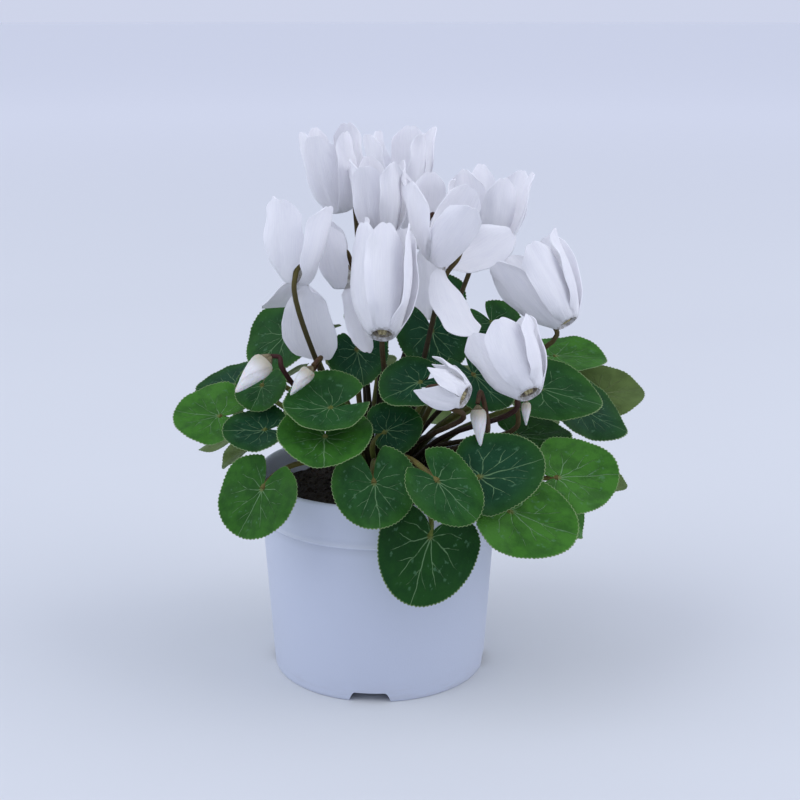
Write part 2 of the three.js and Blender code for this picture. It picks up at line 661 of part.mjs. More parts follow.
flowers.forEach(({ mouth, lean, side, bow, root, size: [length, width], petals }, i) => {
  const frame = flowerFrame(mouth, lean, side);
  const head = corolla(frame, petals, length, width);
  const hook = hookedStalk(frame, root, CUP_HEIGHT, STALK_CLEAR, bow);
  const stalk = calyx(frame, CUP_HEIGHT + PETAL_BLADE / 2).add(hook);
  addNode(numbered('flower', i, '_petals'), head, materials.petal);
  addNode(numbered('flower', i, '_stalk'), stalk, materials.stalk);
});

buds.forEach(({ clear, bow, root, size: [length, radius] }, i) => {
  const frame = budFrames[i];
  addNode(numbered('bud', i, '_petals'), budBody(frame, length, radius), materials.petal);
  const stalk = calyx(frame, 0).add(hookedStalk(frame, root, 0, clear, bow));
  addNode(numbered('bud', i, '_stalk'), stalk, materials.stalk);
});

export default group;
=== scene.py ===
# Potted cyclamen with white flowers, dressed for rendering.
# The tables are in millimetres and every mesh is in metres; +Z is up and the front is -Y.
import math

import bpy
import numpy as np
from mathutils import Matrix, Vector


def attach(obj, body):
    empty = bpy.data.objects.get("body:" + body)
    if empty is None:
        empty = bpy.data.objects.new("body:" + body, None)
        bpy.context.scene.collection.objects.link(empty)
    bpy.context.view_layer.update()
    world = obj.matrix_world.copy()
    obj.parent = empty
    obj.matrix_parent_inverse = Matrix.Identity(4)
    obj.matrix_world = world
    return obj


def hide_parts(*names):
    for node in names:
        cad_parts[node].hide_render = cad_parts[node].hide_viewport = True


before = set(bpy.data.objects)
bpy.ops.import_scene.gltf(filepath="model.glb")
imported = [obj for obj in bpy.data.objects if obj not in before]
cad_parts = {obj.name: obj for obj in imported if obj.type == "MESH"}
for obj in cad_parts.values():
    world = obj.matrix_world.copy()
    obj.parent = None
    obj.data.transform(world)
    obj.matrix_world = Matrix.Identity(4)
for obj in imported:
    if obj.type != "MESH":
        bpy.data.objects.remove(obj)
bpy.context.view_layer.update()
collection = bpy.context.scene.collection
mm = 0.001


def compass(azimuth, down=0.0):
    # 0 is the front, 90 the right-hand side
    a, d = math.radians(azimuth), math.radians(down)
    return np.array([math.sin(a) * math.cos(d), -math.cos(a) * math.cos(d), -math.sin(d)])


def ringPoint(radius, azimuth, height):
    # A point on a ring about the Z axis.
    x, y, _ = compass(azimuth) * radius
    return np.array([x, y, height])


def unit(v):
    return v / np.linalg.norm(v)


def mix(a, b, share):
    return a + (b - a) * share


def smooth(start, end, value):
    t = np.clip((value - start) / (end - start), 0.0, 1.0)
    return t * t * (3 - 2 * t)


class Shape:
    # Collects points, faces and point attributes for one mesh.
    def __init__(self):
        self.points, self.faces, self.edges, self.finishes, self.values = [], [], [], [], {}

    def add(self, points, faces, finish=0, edges=(), **values):
        start = len(self.points)
        self.points.extend(np.asarray(points, float).tolist())
        self.faces.extend([tuple(start + i for i in face) for face in faces])
        self.edges.extend([(start + a, start + b) for a, b in edges])
        self.finishes.extend(finish if isinstance(finish, list) else [finish] * len(faces))
        for name, rows in values.items():
            store = self.values.setdefault(name, [])
            store.extend([(0.0, 0.0, 0.0)] * (start - len(store)))
            store.extend(np.broadcast_to(np.asarray(rows, float), (len(points), 3)).tolist())

    def piece(self, name, materials):
        mesh = bpy.data.meshes.new(name)
        mesh.from_pydata((np.array(self.points) * mm).tolist(), self.edges, self.faces)
        for material in materials:
            mesh.materials.append(material)
        mesh.polygons.foreach_set("material_index", self.finishes)
        for key, rows in self.values.items():
            rows = rows + [(0.0, 0.0, 0.0)] * (len(self.points) - len(rows))
            layer = mesh.attributes.new(key, "FLOAT_VECTOR", "POINT")
            layer.data.foreach_set("vector", np.array(rows, np.float32).ravel())
        mesh.polygons.foreach_set("use_smooth", [True] * len(mesh.polygons))
        mesh.update()
        made = bpy.data.objects.new(name, mesh)
        collection.objects.link(made)
        return made


def quads(rows, columns, wrap):
    # Faces over a grid of points, rows first.
    faces = []
    for r in range(rows - 1):
        for c in range(columns if wrap else columns - 1):
            n = (c + 1) % columns
            faces.append((r * columns + c, (r + 1) * columns + c, (r + 1) * columns + n, r * columns + n))
    return faces


def gridNormals(grid, wrap):
    along = np.gradient(grid, axis=0)
    if wrap:
        around = np.roll(grid, -1, axis=1) - np.roll(grid, 1, axis=1)
    else:
        around = np.gradient(grid, axis=1)
    normal = np.cross(along, around)
    return normal / np.maximum(np.linalg.norm(normal, axis=2, keepdims=True), 1e-9)


def thinSheet(grid, thick):
    # Closed shell round an open grid: its two faces and four rims, and each face's side (0 upper, 1 lower).
    rows, columns = grid.shape[:2]
    offset = gridNormals(grid, False) * (thick / 2)
    points = np.concatenate([(grid + offset).reshape(-1, 3), (grid - offset).reshape(-1, 3)])
    count = rows * columns
    upper = quads(rows, columns, False)
    lower = [tuple(count + i for i in reversed(face)) for face in upper]
    border = list(range(columns))
    border += [r * columns + columns - 1 for r in range(1, rows)]
    border += [(rows - 1) * columns + c for c in range(columns - 2, -1, -1)]
    border += [r * columns for r in range(rows - 2, 0, -1)]
    rim = []
    for k, a in enumerate(border):
        b = border[(k + 1) % len(border)]
        rim.append((a, b, b + count, a + count))
    return points, upper + lower + rim, [0] * len(upper) + [1] * len(lower) + [0] * len(rim)


def turnedGrid(profile, columns, place):
    # Rings of points for a closed body of revolution; profile runs from axis to axis.
    inner = [[place(r, h, c * 360.0 / columns) for c in range(columns)] for r, h in profile[1:-1]]
    points = [place(0, profile[0][1], 0)] + [p for ring in inner for p in ring] + [place(0, profile[-1][1], 0)]
    last = len(points) - 1
    faces = []
    for c in range(columns):
        n = (c + 1) % columns
        faces.append((0, 1 + n, 1 + c))
        faces.append((last, last - columns + c, last - columns + n))
        for r in range(len(inner) - 1):
            a, b = 1 + r * columns + c, 1 + r * columns + n
            faces.append((a, b, b + columns, a + columns))
    return np.array(points), faces


def roundSpline(knots, steps):
    # Centripetal Catmull-Rom curve through the knots, evenly stepped between each two.
    k = [2 * knots[0] - knots[1], *knots, 2 * knots[-1] - knots[-2]]
    out = []
    for i in range(1, len(k) - 2):
        a, b, c, d = k[i - 1], k[i], k[i + 1], k[i + 2]
        da, db, dc = (math.sqrt(max(np.linalg.norm(q - p), 1e-6)) for p, q in ((a, b), (b, c), (c, d)))
        t1 = ((b - a) / da - (c - a) / (da + db) + (c - b) / db) * db
        t2 = ((c - b) / db - (d - b) / (db + dc) + (d - c) / dc) * db
        for j in range(steps):
            t = j / steps
            out.append(b + t1 * t + (-3 * b + 3 * c - 2 * t1 - t2) * t**2 + (2 * b - 2 * c + t1 + t2) * t**3)
    return out + [knots[-1]]


def sums(operation):
    # An operator that adds a Math node, and the same with its sides swapped.
    def plain(self, other):
        return self.maths(operation, self, other)

    def swapped(self, other):
        return self.maths(operation, other, self)

    return plain, swapped


class Wire:
    # A socket that can be used in Python sums; each sum adds a Math node.
    def __init__(self, graph, node, out):
        self.graph, self.node = graph, node
        self.socket = node.outputs[out] if node.outputs else None

    def out(self, index):
        return Wire(self.graph, self.node, index)

    def maths(self, operation, *values, **settings):
        return self.graph.add("ShaderNodeMath", {"operation": operation, **settings}, dict(enumerate(values)))

    __add__, __radd__ = sums("ADD")
    __sub__, __rsub__ = sums("SUBTRACT")
    __mul__, __rmul__ = sums("MULTIPLY")
    __truediv__, __rtruediv__ = sums("DIVIDE")

    def most(self, other):
        return self.maths("MAXIMUM", self, other)

    def size(self):
        return self.maths("ABSOLUTE", self)

    def step(self, start, end, low=0.0, high=1.0):
        # Smooth step from low at start to high at end.
        settings = {"interpolation_type": "SMOOTHSTEP"}
        return self.graph.add("ShaderNodeMapRange", settings, {0: self, 1: start, 2: end, 3: low, 4: high})

    def split(self):
        parts = self.graph.add("ShaderNodeSeparateXYZ", {}, {0: self})
        return parts, parts.out(1), parts.out(2)


class Graph:
    def __init__(self, tree):
        self.tree = tree

    def add(self, kind, settings=None, inputs=None, out=0):
        node = self.tree.nodes.new(kind)
        for key, value in (settings or {}).items():
            setattr(node, key, value)
        for key, value in (inputs or {}).items():
            self.plug(node.inputs[key], value)
        return Wire(self, node, out)

    def plug(self, socket, value):
        if isinstance(value, Wire):
            self.tree.links.new(value.socket, socket)
        elif isinstance(value, (list, tuple)) and socket.type == "RGBA":
            socket.default_value = (*value, 1)[:4]
        else:
            socket.default_value = value


class Finish(Graph):
    # A material with one Principled surface.
    def __init__(self, name, **surface):
        self.material = bpy.data.materials.new(name)
        self.material.use_nodes = True
        super().__init__(self.material.node_tree)
        self.tree.nodes.clear()
        self.surface = self.add("ShaderNodeBsdfPrincipled", {}, surface)
        self.add("ShaderNodeOutputMaterial", {}, {"Surface": self.surface})

    def set(self, name, value):
        self.plug(self.surface.node.inputs[name], value)

    def attribute(self, name):
        return self.add("ShaderNodeAttribute", {"attribute_name": name}, out=1)

    def place(self, scale=1.0):
        where = self.add("ShaderNodeTexCoord", out=3)
        return self.add("ShaderNodeVectorMath", {"operation": "SCALE"}, {0: where, 3: scale})

    def vector(self, x, y, z):
        return self.add("ShaderNodeCombineXYZ", {}, {0: x, 1: y, 2: z})

    def noise(self, where, scale, detail=2.0, roughness=0.5, out=0):
        inputs = {"Vector": where, "Scale": scale, "Detail": detail, "Roughness": roughness}
        return self.add("ShaderNodeTexNoise", {}, inputs, out)

    def blend(self, share, a, b, kind="MIX"):
        return self.add("ShaderNodeMix", {"data_type": "RGBA", "blend_type": kind}, {0: share, 6: a, 7: b}, out=2)

    def bump(self, height, distance, strength=1.0):
        inputs = {"Strength": strength, "Distance": distance, "Height": height}
        self.set("Normal", self.add("ShaderNodeBump", {}, inputs))


class Grower(Graph):
    # A Geometry Nodes tree; sockets is {name: (socket type, default)}.
    def __init__(self, name, sockets):
        tree = bpy.data.node_groups.new(name, "GeometryNodeTree")
        super().__init__(tree)
        tree.interface.new_socket("Geometry", in_out="OUTPUT", socket_type="NodeSocketGeometry")
        tree.interface.new_socket("Geometry", in_out="INPUT", socket_type="NodeSocketGeometry")
        self.identifiers = {}
        for key, (kind, default) in sockets.items():
            socket = tree.interface.new_socket(key, in_out="INPUT", socket_type=kind)
            if default is not None:
                socket.default_value = default
            self.identifiers[key] = socket.identifier
        self.entry = self.add("NodeGroupInput")
        self.names = ["Geometry", *sockets]

    def given(self, name):
        return self.entry.out(self.names.index(name))

    def turnEach(self, count):
        # Turns that share a full circle out among the copies.
        turn = self.add("GeometryNodeInputIndex") * (2 * math.pi) / count
        return self.add("ShaderNodeCombineXYZ", {}, {2: turn})

    def anyBetween(self, low, high, seed):
        return self.add("FunctionNodeRandomValue", {"data_type": "FLOAT_VECTOR"}, {0: low, 1: high, 8: seed})

    def copies(self, points, shape, turn, size=(1.0, 1.0, 1.0)):
        return self.add("GeometryNodeInstanceOnPoints", {}, {0: points, 2: shape, 5: turn, 6: size})

    def solid(self, geometry):
        # Real geometry in the tree's finish.
        real = self.add("GeometryNodeRealizeInstances", {}, {0: geometry})
        return self.add("GeometryNodeSetMaterial", {}, {0: real, 2: self.given("Finish")})

    def finish(self, geometry, beside=None):
        # Ends the tree, with what stays as it was beside the new geometry.
        if beside is not None:
            geometry = self.add("GeometryNodeJoinGeometry", {}, {0: geometry})
            self.plug(geometry.node.inputs[0], beside)
        self.add("NodeGroupOutput", {}, {0: geometry})
        return self

    def grow(self, base, **inputs):
        # Runs the tree on base and leaves the result in base as a plain mesh.
        modifier = base.modifiers.new(self.tree.name, "NODES")
        modifier.node_group = self.tree
        for key, value in inputs.items():
            modifier[self.identifiers[key]] = value
        bpy.context.view_layer.update()
        graph = bpy.context.evaluated_depsgraph_get()
        grown = bpy.data.meshes.new_from_object(base.evaluated_get(graph), depsgraph=graph)
        base.modifiers.remove(modifier)
        bare = base.data
        base.data = grown
        bpy.data.meshes.remove(bare)
        grown.name = base.name
        return base


def settle(piece, slot, *nodes):
    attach(piece, "root")
    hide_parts(*nodes)


cameraView = {"at": (0.0105, -0.674, 0.319), "tilt": 74.76, "lens": 64.3, "sensor": 36}

lens = bpy.data.cameras.new("camera")
lens.lens = cameraView["lens"]
lens.sensor_width = cameraView["sensor"]
camera = bpy.data.objects.new("camera", lens)
camera.location = cameraView["at"]
camera.rotation_euler = (math.radians(cameraView["tilt"]), 0, 0)
collection.objects.link(camera)
bpy.context.scene.camera = camera
print("camera set")

leafColours = {
    "fresh": (0.050, 0.180, 0.018),
    "deep": (0.009, 0.056, 0.008),
    "blue": (0.007, 0.050, 0.021),
    "shade": (0.0, 0.02, 0.006),
    "vein": (0.190, 0.340, 0.160),
    "fleck": (0.100, 0.220, 0.120),
    "edge": (0.240, 0.330, 0.150),
    "joint": (0.150, 0.130, 0.020),
    "under": (0.200, 0.290, 0.085),
    "underVein": (0.290, 0.370, 0.150),
}

# Veins of one half of a blade, from the stalk (0, 0) towards the tip (1, 0): start, end, width at each.
leafVeins = [
    ((0, 0), (0.52, 0.0), 0.026, 0.018),
    ((0.52, 0), (1.0, 0.0), 0.018, 0.010),
    ((0, 0), (0.28, 0.16), 0.022, 0.015),
    ((0.28, 0.16), (0.66, 0.38), 0.015, 0.007),
    ((0.32, 0.18), (0.46, 0.46), 0.012, 0.006),
    ((0, 0), (0.13, 0.32), 0.020, 0.014),
    ((0.13, 0.32), (0.34, 0.66), 0.014, 0.006),
    ((0.13, 0.34), (0.08, 0.62), 0.011, 0.006),
    ((0, 0), (-0.10, 0.32), 0.018, 0.012),
    ((-0.10, 0.32), (-0.08, 0.60), 0.012, 0.006),
    ((0, 0), (-0.24, 0.20), 0.016, 0.010),
    ((-0.24, 0.20), (-0.40, 0.42), 0.010, 0.005),
    ((0.46, 0), (0.72, 0.20), 0.013, 0.006),
]


def veinField(paint, x, y):
    # 1 on a vein's centre line and 0 at its edge.
    field = None
    for (ax, ay), (bx, by), wide, narrow in leafVeins:
        ux, uy = bx - ax, by - ay
        long = ux * ux + uy * uy
        dx, dy = x - ax, y - ay
        share = dx.maths("ADD", dx * (ux / long), dy * (uy / long), use_clamp=True)
        ex, ey = dx - share * ux, dy - share * uy
        near = 1 - ex.maths("SQRT", ex * ex + ey * ey) / (wide - share * (wide - narrow))
        field = near if field is None else field.most(near)
    return field.step(0.0, 0.75)


def leafFinish(name, under):
    look = leafColours
    paint = Finish(name)
    paint.set("Specular IOR Level", 0.12)
    along, across, share = paint.attribute("blade").split()
    fresh, blue, seed = paint.attribute("tone").split()
    where = paint.vector(along, across, seed)
    wander, sway, _ = paint.noise(where, 2.3, 2.0, out=1).split()
    x = along + (wander - 0.5) * 0.15
    y = (across + (sway - 0.5) * 0.15).size()
    veins = veinField(paint, x, y)
    broken = paint.noise(where, 6.0, 2.0)
    mottle = paint.noise(where, 2.6, 4.0, 0.6)
    fine = paint.noise(paint.place(900.0), 1.0, 3.0, 0.6)
    if under:
        colour = paint.blend(mottle.step(0.3, 0.7), look["under"], tuple(0.72 * c for c in look["under"]))
        colour = paint.blend(veins * 0.7, colour, look["underVein"])
        colour = paint.blend(share.step(0.10, 0.02) * 0.6, colour, look["joint"])
        paint.set("Roughness", 0.58 + fine * 0.1)
        paint.bump(veins * 0.5 + fine * 0.3, 0.0005)
    else:
        # The tone is partly painted light and shade: lit leaves were given lighter greens and shaded leaves darker
        # ones.
        colour = paint.blend(fresh, look["deep"], look["fresh"])
        colour = paint.blend(blue * share.step(1.05, 0.55), colour, look["blue"])
        shade = paint.blend(0.55, colour, look["shade"])
        colour = paint.blend(mottle.step(0.62, 0.34) * 0.75, colour, shade)
        rib = 1 - y / (0.026 - along * 0.014)
        midrib = rib.step(0.0, 0.7) * along.step(-0.02, 0.05)
        strong = (broken.step(0.36, 0.56, 0.25, 1.0) * veins * share.step(0.86, 0.66)).most(midrib * 0.9)
        zone = share.step(0.30, 0.48) * share.step(0.90, 0.74)
        flecks = paint.noise(where, 8.5, 3.0, 0.55).step(0.605, 0.675) * zone
        colour = paint.blend(flecks * 0.4, colour, look["fleck"])
        colour = paint.blend(strong * 0.62, colour, look["vein"])
        colour = paint.blend(share.step(0.085, 0.02) * 0.6, colour, look["joint"])
        colour = paint.blend(share.step(0.978, 0.998) * broken.step(0.25, 0.5, 0.4, 0.8), colour, look["edge"])
        paint.set("Roughness", 0.42 + fine * 0.12 + mottle * 0.08)
        paint.bump(fine * 0.28 + mottle * 0.5 - veins * 0.45, 0.0006)
    paint.set("Base Color", colour)
    return paint.material


stalkColours = {
    "green": (0.115, 0.150, 0.030), "olive": (0.125, 0.100, 0.028), "red": (0.046, 0.013, 0.012),
    "shade": (0.008, 0.006, 0.003),
}


def stalkFinish():
    # grow holds the share of the way up, how red the stalk is, and a seed.
    look = stalkColours
    paint = Finish("stalkSkin")
    paint.set("Specular IOR Level", 0.18)
    up, red, _ = paint.attribute("grow").split()
    streaks = paint.noise(paint.place(420.0), 1.0, 3.0, 0.6)
    patch = paint.noise(paint.place(90.0), 1.0, 2.0)
    share = red * 1.5 + (streaks - 0.5) * 0.7 + (patch - 0.5) * 0.6
    colour = paint.blend(share.step(0.05, 0.65), look["green"], look["olive"])
    colour = paint.blend(share.step(0.65, 1.5), colour, look["red"])
    colour = paint.blend(up.step(0.72, 0.12) * 0.88, colour, look["shade"])
    paint.set("Base Color", colour)
    paint.set("Roughness", 0.42 + streaks * 0.2)
    paint.bump(streaks * 0.6 + patch * 0.4, 0.0003)
    return paint.material


petalColours = {
    "white": (0.88, 0.87, 0.90), "fold": (0.76, 0.75, 0.82), "base": (0.62, 0.62, 0.52),
    "tube": (0.42, 0.40, 0.25), "mouth": (0.26, 0.23, 0.20),
}


def petalFinish():
    # petal holds the share along from the mouth (below 0 in the tube), the place across, and a seed.
    look = petalColours
    paint = Finish("petalSkin")
    paint.set("Subsurface Weight", 0.35)
    paint.set("Subsurface Radius", (1.0, 0.95, 1.0))
    paint.set("Subsurface Scale", 0.004)
    paint.set("Specular IOR Level", 0.3)
    along, across, seed = paint.attribute("petal").split()
    lines = paint.noise(paint.vector(along * 1.3, across * 9.0, seed), 3.0, 3.0, 0.6)
    cloud = paint.noise(paint.vector(along * 2.0, across * 1.5, seed), 1.6, 2.0)
    colour = paint.blend(lines.step(0.38, 0.68) * 0.35, look["white"], look["fold"])
    colour = paint.blend(cloud.step(0.45, 0.7) * 0.25, colour, look["fold"])
    colour = paint.blend(along.step(0.02, -0.12) * 0.35, colour, look["base"])
    colour = paint.blend(along.step(-0.14, -0.30) * 0.45, colour, look["tube"])
    mottle = paint.noise(paint.place(620.0), 1.0, 3.0, 0.65)
    colour = paint.blend(along.step(0.035, 0.0) * mottle.step(0.38, 0.6) * 0.7, colour, look["mouth"])
    paint.set("Base Color", colour)
    paint.set("Roughness", 0.48 + cloud * 0.15)
    paint.bump(lines * 0.7 + cloud * 0.5, 0.0005, 0.7)
    return paint.material


throatColours = {"dark": (0.16, 0.13, 0.10), "pale": (0.42, 0.39, 0.30), "rim": (0.72, 0.71, 0.70)}


def throatFinish():
    look = throatColours
    paint = Finish("throatSkin", Roughness=0.7)
    along = paint.attribute("petal").split()[0]
    mottle = paint.noise(paint.place(650.0), 1.0, 4.0, 0.7)
    colour = paint.blend(mottle.step(0.35, 0.65), look["dark"], look["pale"])
    colour = paint.blend(along.step(-0.16, 0.0), colour, look["rim"])
    paint.set("Base Color", colour)
    paint.bump(mottle, 0.0004)
    return paint.material


stamenColours = {"dark": (0.30, 0.24, 0.10), "pale": (0.55, 0.50, 0.30)}
sepalColours = {"dark": (0.085, 0.060, 0.025), "pale": (0.230, 0.190, 0.095)}


def grainFinish(name, look, roughness, scale, detail, crisp):
    # Two colours mixed by a fine grain.
    paint = Finish(name, Roughness=roughness)
    grain = paint.noise(paint.place(scale), 1.0, detail, crisp)
    paint.set("Base Color", paint.blend(grain.step(0.35, 0.65), look["dark"], look["pale"]))
    paint.bump(grain, 0.0003)
    return paint.material


# The fold colour is a painted shade for the crease where each lap of a bud tucks onto the next.
budColours = {"crease": (0.70, 0.69, 0.58), "base": (0.40, 0.36, 0.20), "fold": (0.45, 0.42, 0.33)}


def budFinish():
    # Uses the petal attribute too: share along from the stalk, and place across the fold.
    look = budColours
    paint = Finish("budSkin", Roughness=0.55)
    paint.set("Subsurface Weight", 0.2)
    paint.set("Subsurface Scale", 0.003)
    along, across, seed = paint.attribute("petal").split()
    lines = paint.noise(paint.vector(along * 2.0, across * 8.0, seed), 3.0, 3.0, 0.6)
    colour = paint.blend(lines.step(0.35, 0.7) * 0.5, petalColours["white"], look["crease"])
    colour = paint.blend(along.step(0.45, 0.05) * 0.75, colour, look["base"])
    # Painted shade: each lap darkens towards its edge, where it drops into the crease onto the next lap.
    colour = paint.blend(across.step(0.82, 1.0) * 0.35, colour, look["fold"])
    paint.set("Base Color", colour)
    paint.bump(lines, 0.0004)
    return paint.material


potColours = {
    "plastic": (0.545, 0.590, 0.700), "scuff": (0.47, 0.51, 0.61), "bead": (0.64, 0.68, 0.77),
    "under": (0.42, 0.45, 0.52), "dust": (0.42, 0.42, 0.46),
}


def potFinish():
    look = potColours
    paint = Finish("potPlastic")
    paint.set("Specular IOR Level", 0.65)
    x, y, z = paint.place().split()
    grain = paint.noise(paint.place(1400.0), 1.0, 2.0, 0.6)
    cloud = paint.noise(paint.vector(x * 26.0, y * 26.0, z * 9.0), 1.0, 3.0)
    smear = paint.noise(paint.vector(x * 60.0, y * 60.0, z * 300.0), 1.0, 4.0, 0.65)
    colour = paint.blend(cloud.step(0.35, 0.75) * 0.12, look["plastic"], look["scuff"])
    # The bead under the band catches the light, and the wall below it lies in its shade.
    bead = z.step(0.0792, 0.0799) * z.step(0.0826, 0.0812)
    under = z.step(0.0745, 0.0790) * z.step(0.0797, 0.0792)
    colour = paint.blend(bead * 0.55, colour, look["bead"])
    colour = paint.blend(under * 0.35, colour, look["under"])
    dust = z.step(0.012, 0.0) * smear.step(0.4, 0.7)
    colour = paint.blend(dust * 0.35, colour, look["dust"])
    paint.set("Base Color", colour)
    paint.set("Roughness", 0.34 + cloud * 0.14 + smear.step(0.55, 0.75) * 0.08)
    paint.bump(grain * 0.35 + cloud * 0.6, 0.0002)
    return paint.material


compostColours = {
    "dark": (0.010, 0.007, 0.005), "patch": (0.016, 0.013, 0.010),
    "soil": (0.030, 0.020, 0.012), "crumb": (0.050, 0.032, 0.018),
}
tuberColours = {"dark": (0.035, 0.020, 0.012), "pale": (0.130, 0.080, 0.045), "crack": (0.012, 0.008, 0.006)}


def compostFinish(name, pale):
    look = compostColours
    paint = Finish(name, Roughness=0.95)
    grain = paint.noise(paint.place(700.0), 1.0, 5.0, 0.7)
    patch = paint.noise(paint.place(120.0), 1.0, 2.0)
    colour = paint.blend(grain.step(0.35, 0.7), look["dark"], look[pale])
    colour = paint.blend(patch.step(0.5, 0.8) * 0.4, colour, look["patch"])
    paint.set("Base Color", colour)
    paint.bump(grain, 0.0012)
    return paint.material


def tuberFinish():
    look = tuberColours
    paint = Finish("tuberBark", Roughness=0.9)
    bark = paint.noise(paint.place(260.0), 1.0, 6.0, 0.7)
    cells = {"Vector": paint.place(190.0), "Scale": 1.0}
    cracks = paint.add("ShaderNodeTexVoronoi", {"feature": "DISTANCE_TO_EDGE"}, cells)
    colour = paint.blend(bark.step(0.35, 0.7), look["dark"], look["pale"])
    colour = paint.blend(cracks.step(0.10, 0.0) * 0.7, colour, look["crack"])
    paint.set("Base Color", colour)
    paint.bump(bark + cracks.step(0.0, 0.12), 0.001)
    return paint.material


leafTop = leafFinish("leafTop", False)
leafUnder = leafFinish("leafUnder", True)
stalkSkin = stalkFinish()
petalSkin = petalFinish()
throatSkin = throatFinish()
stamenSkin = grainFinish("stamenSkin", stamenColours, 0.75, 1500.0, 3.0, 0.7)
sepalSkin = grainFinish("sepalSkin", sepalColours, 0.6, 520.0, 4.0, 0.65)
budSkin = budFinish()
print("finishes made")


def tubeTree():
    # Tubes along the centre lines of a mesh; its faces stay as they are.
    tree = Grower("stalkTubes", {
        "Sides": ("NodeSocketInt", 10),
        "Thickness": ("NodeSocketFloat", 1.0),
        "Finish": ("NodeSocketMaterial", None),
    })
    line = tree.add("GeometryNodeInputNamedAttribute", {"data_type": "FLOAT_VECTOR"}, {"Name": "line"})
    isLine, radius, _ = line.split()
    picked = isLine.maths("GREATER_THAN", isLine, 0.5)
    parted = tree.add("GeometryNodeSeparateGeometry", {"domain": "POINT"}, {0: tree.given("Geometry"), 1: picked})
    path = tree.add("GeometryNodeMeshToCurve", {}, {0: parted})
    ring = tree.add("GeometryNodeCurvePrimitiveCircle", {"mode": "RADIUS"}, {0: tree.given("Sides"), 4: 1.0})
    wide = radius * tree.given("Thickness")
    tubes = tree.add("GeometryNodeCurveToMesh", {}, {0: path, 1: ring, 2: wide, 3: True})
    tubes = tree.add("GeometryNodeSetShadeSmooth", {}, {0: tubes})
    return tree.finish(tree.solid(tubes), parted.out(1))


def roundTree():
    # Copies of a shape, turned about the Z axis.
    tree = Grower("ringOf", {
        "Count": ("NodeSocketInt", 5),
        "Finish": ("NodeSocketMaterial", None),
    })
    spots = tree.add("GeometryNodePoints", {}, {0: tree.given("Count"), 2: 0.001})
    copies = tree.copies(spots, tree.given("Geometry"), tree.turnEach(tree.given("Count")))
    return tree.finish(tree.solid(copies))


tubeGrower = tubeTree()
roundGrower = roundTree()


def addLine(shape, path, radii, red, seed):
    # A stalk's centre line; the tube grower gives it its thickness.
    path = np.array(path)
    share = np.linspace(0, 1, len(path))
    line = np.stack([np.ones(len(path)), np.asarray(radii) * mm, share * 0], axis=1)
    grow = np.stack([share, share * 0 + red, share * 0 + seed], axis=1)
    shape.add(path, [], edges=[(i, i + 1) for i in range(len(path) - 1)], line=line, grow=grow)


potShape = {
    "sides": 192, "height": 101, "foot": 53, "rim": 60, "wall": 1.8, "band": 80, "proud": 0.7,
    "floorUnder": 5, "floorTop": 7, "pad": 18, "footRing": 3.2,
    "notches": 4, "notchTurn": -4.3, "notchWidth": 20.5, "notchSlope": 2.9, "notchHeight": 4.6,
    "drains": 6, "drainRadius": 4.5, "drainCircle": 35,
}
# Where the columns of points stand on a notch's side, from its floor's edge inwards.
notchSteps = (-0.04, 0.0, 0.15, 0.35, 0.55, 0.7, 0.82, 0.91, 1.0, 1.1)


def potWall(height):
    return mix(potShape["foot"], potShape["rim"] - potShape["proud"], height / potShape["height"])


def potRadius(height):
    return potWall(height) - potShape["wall"]


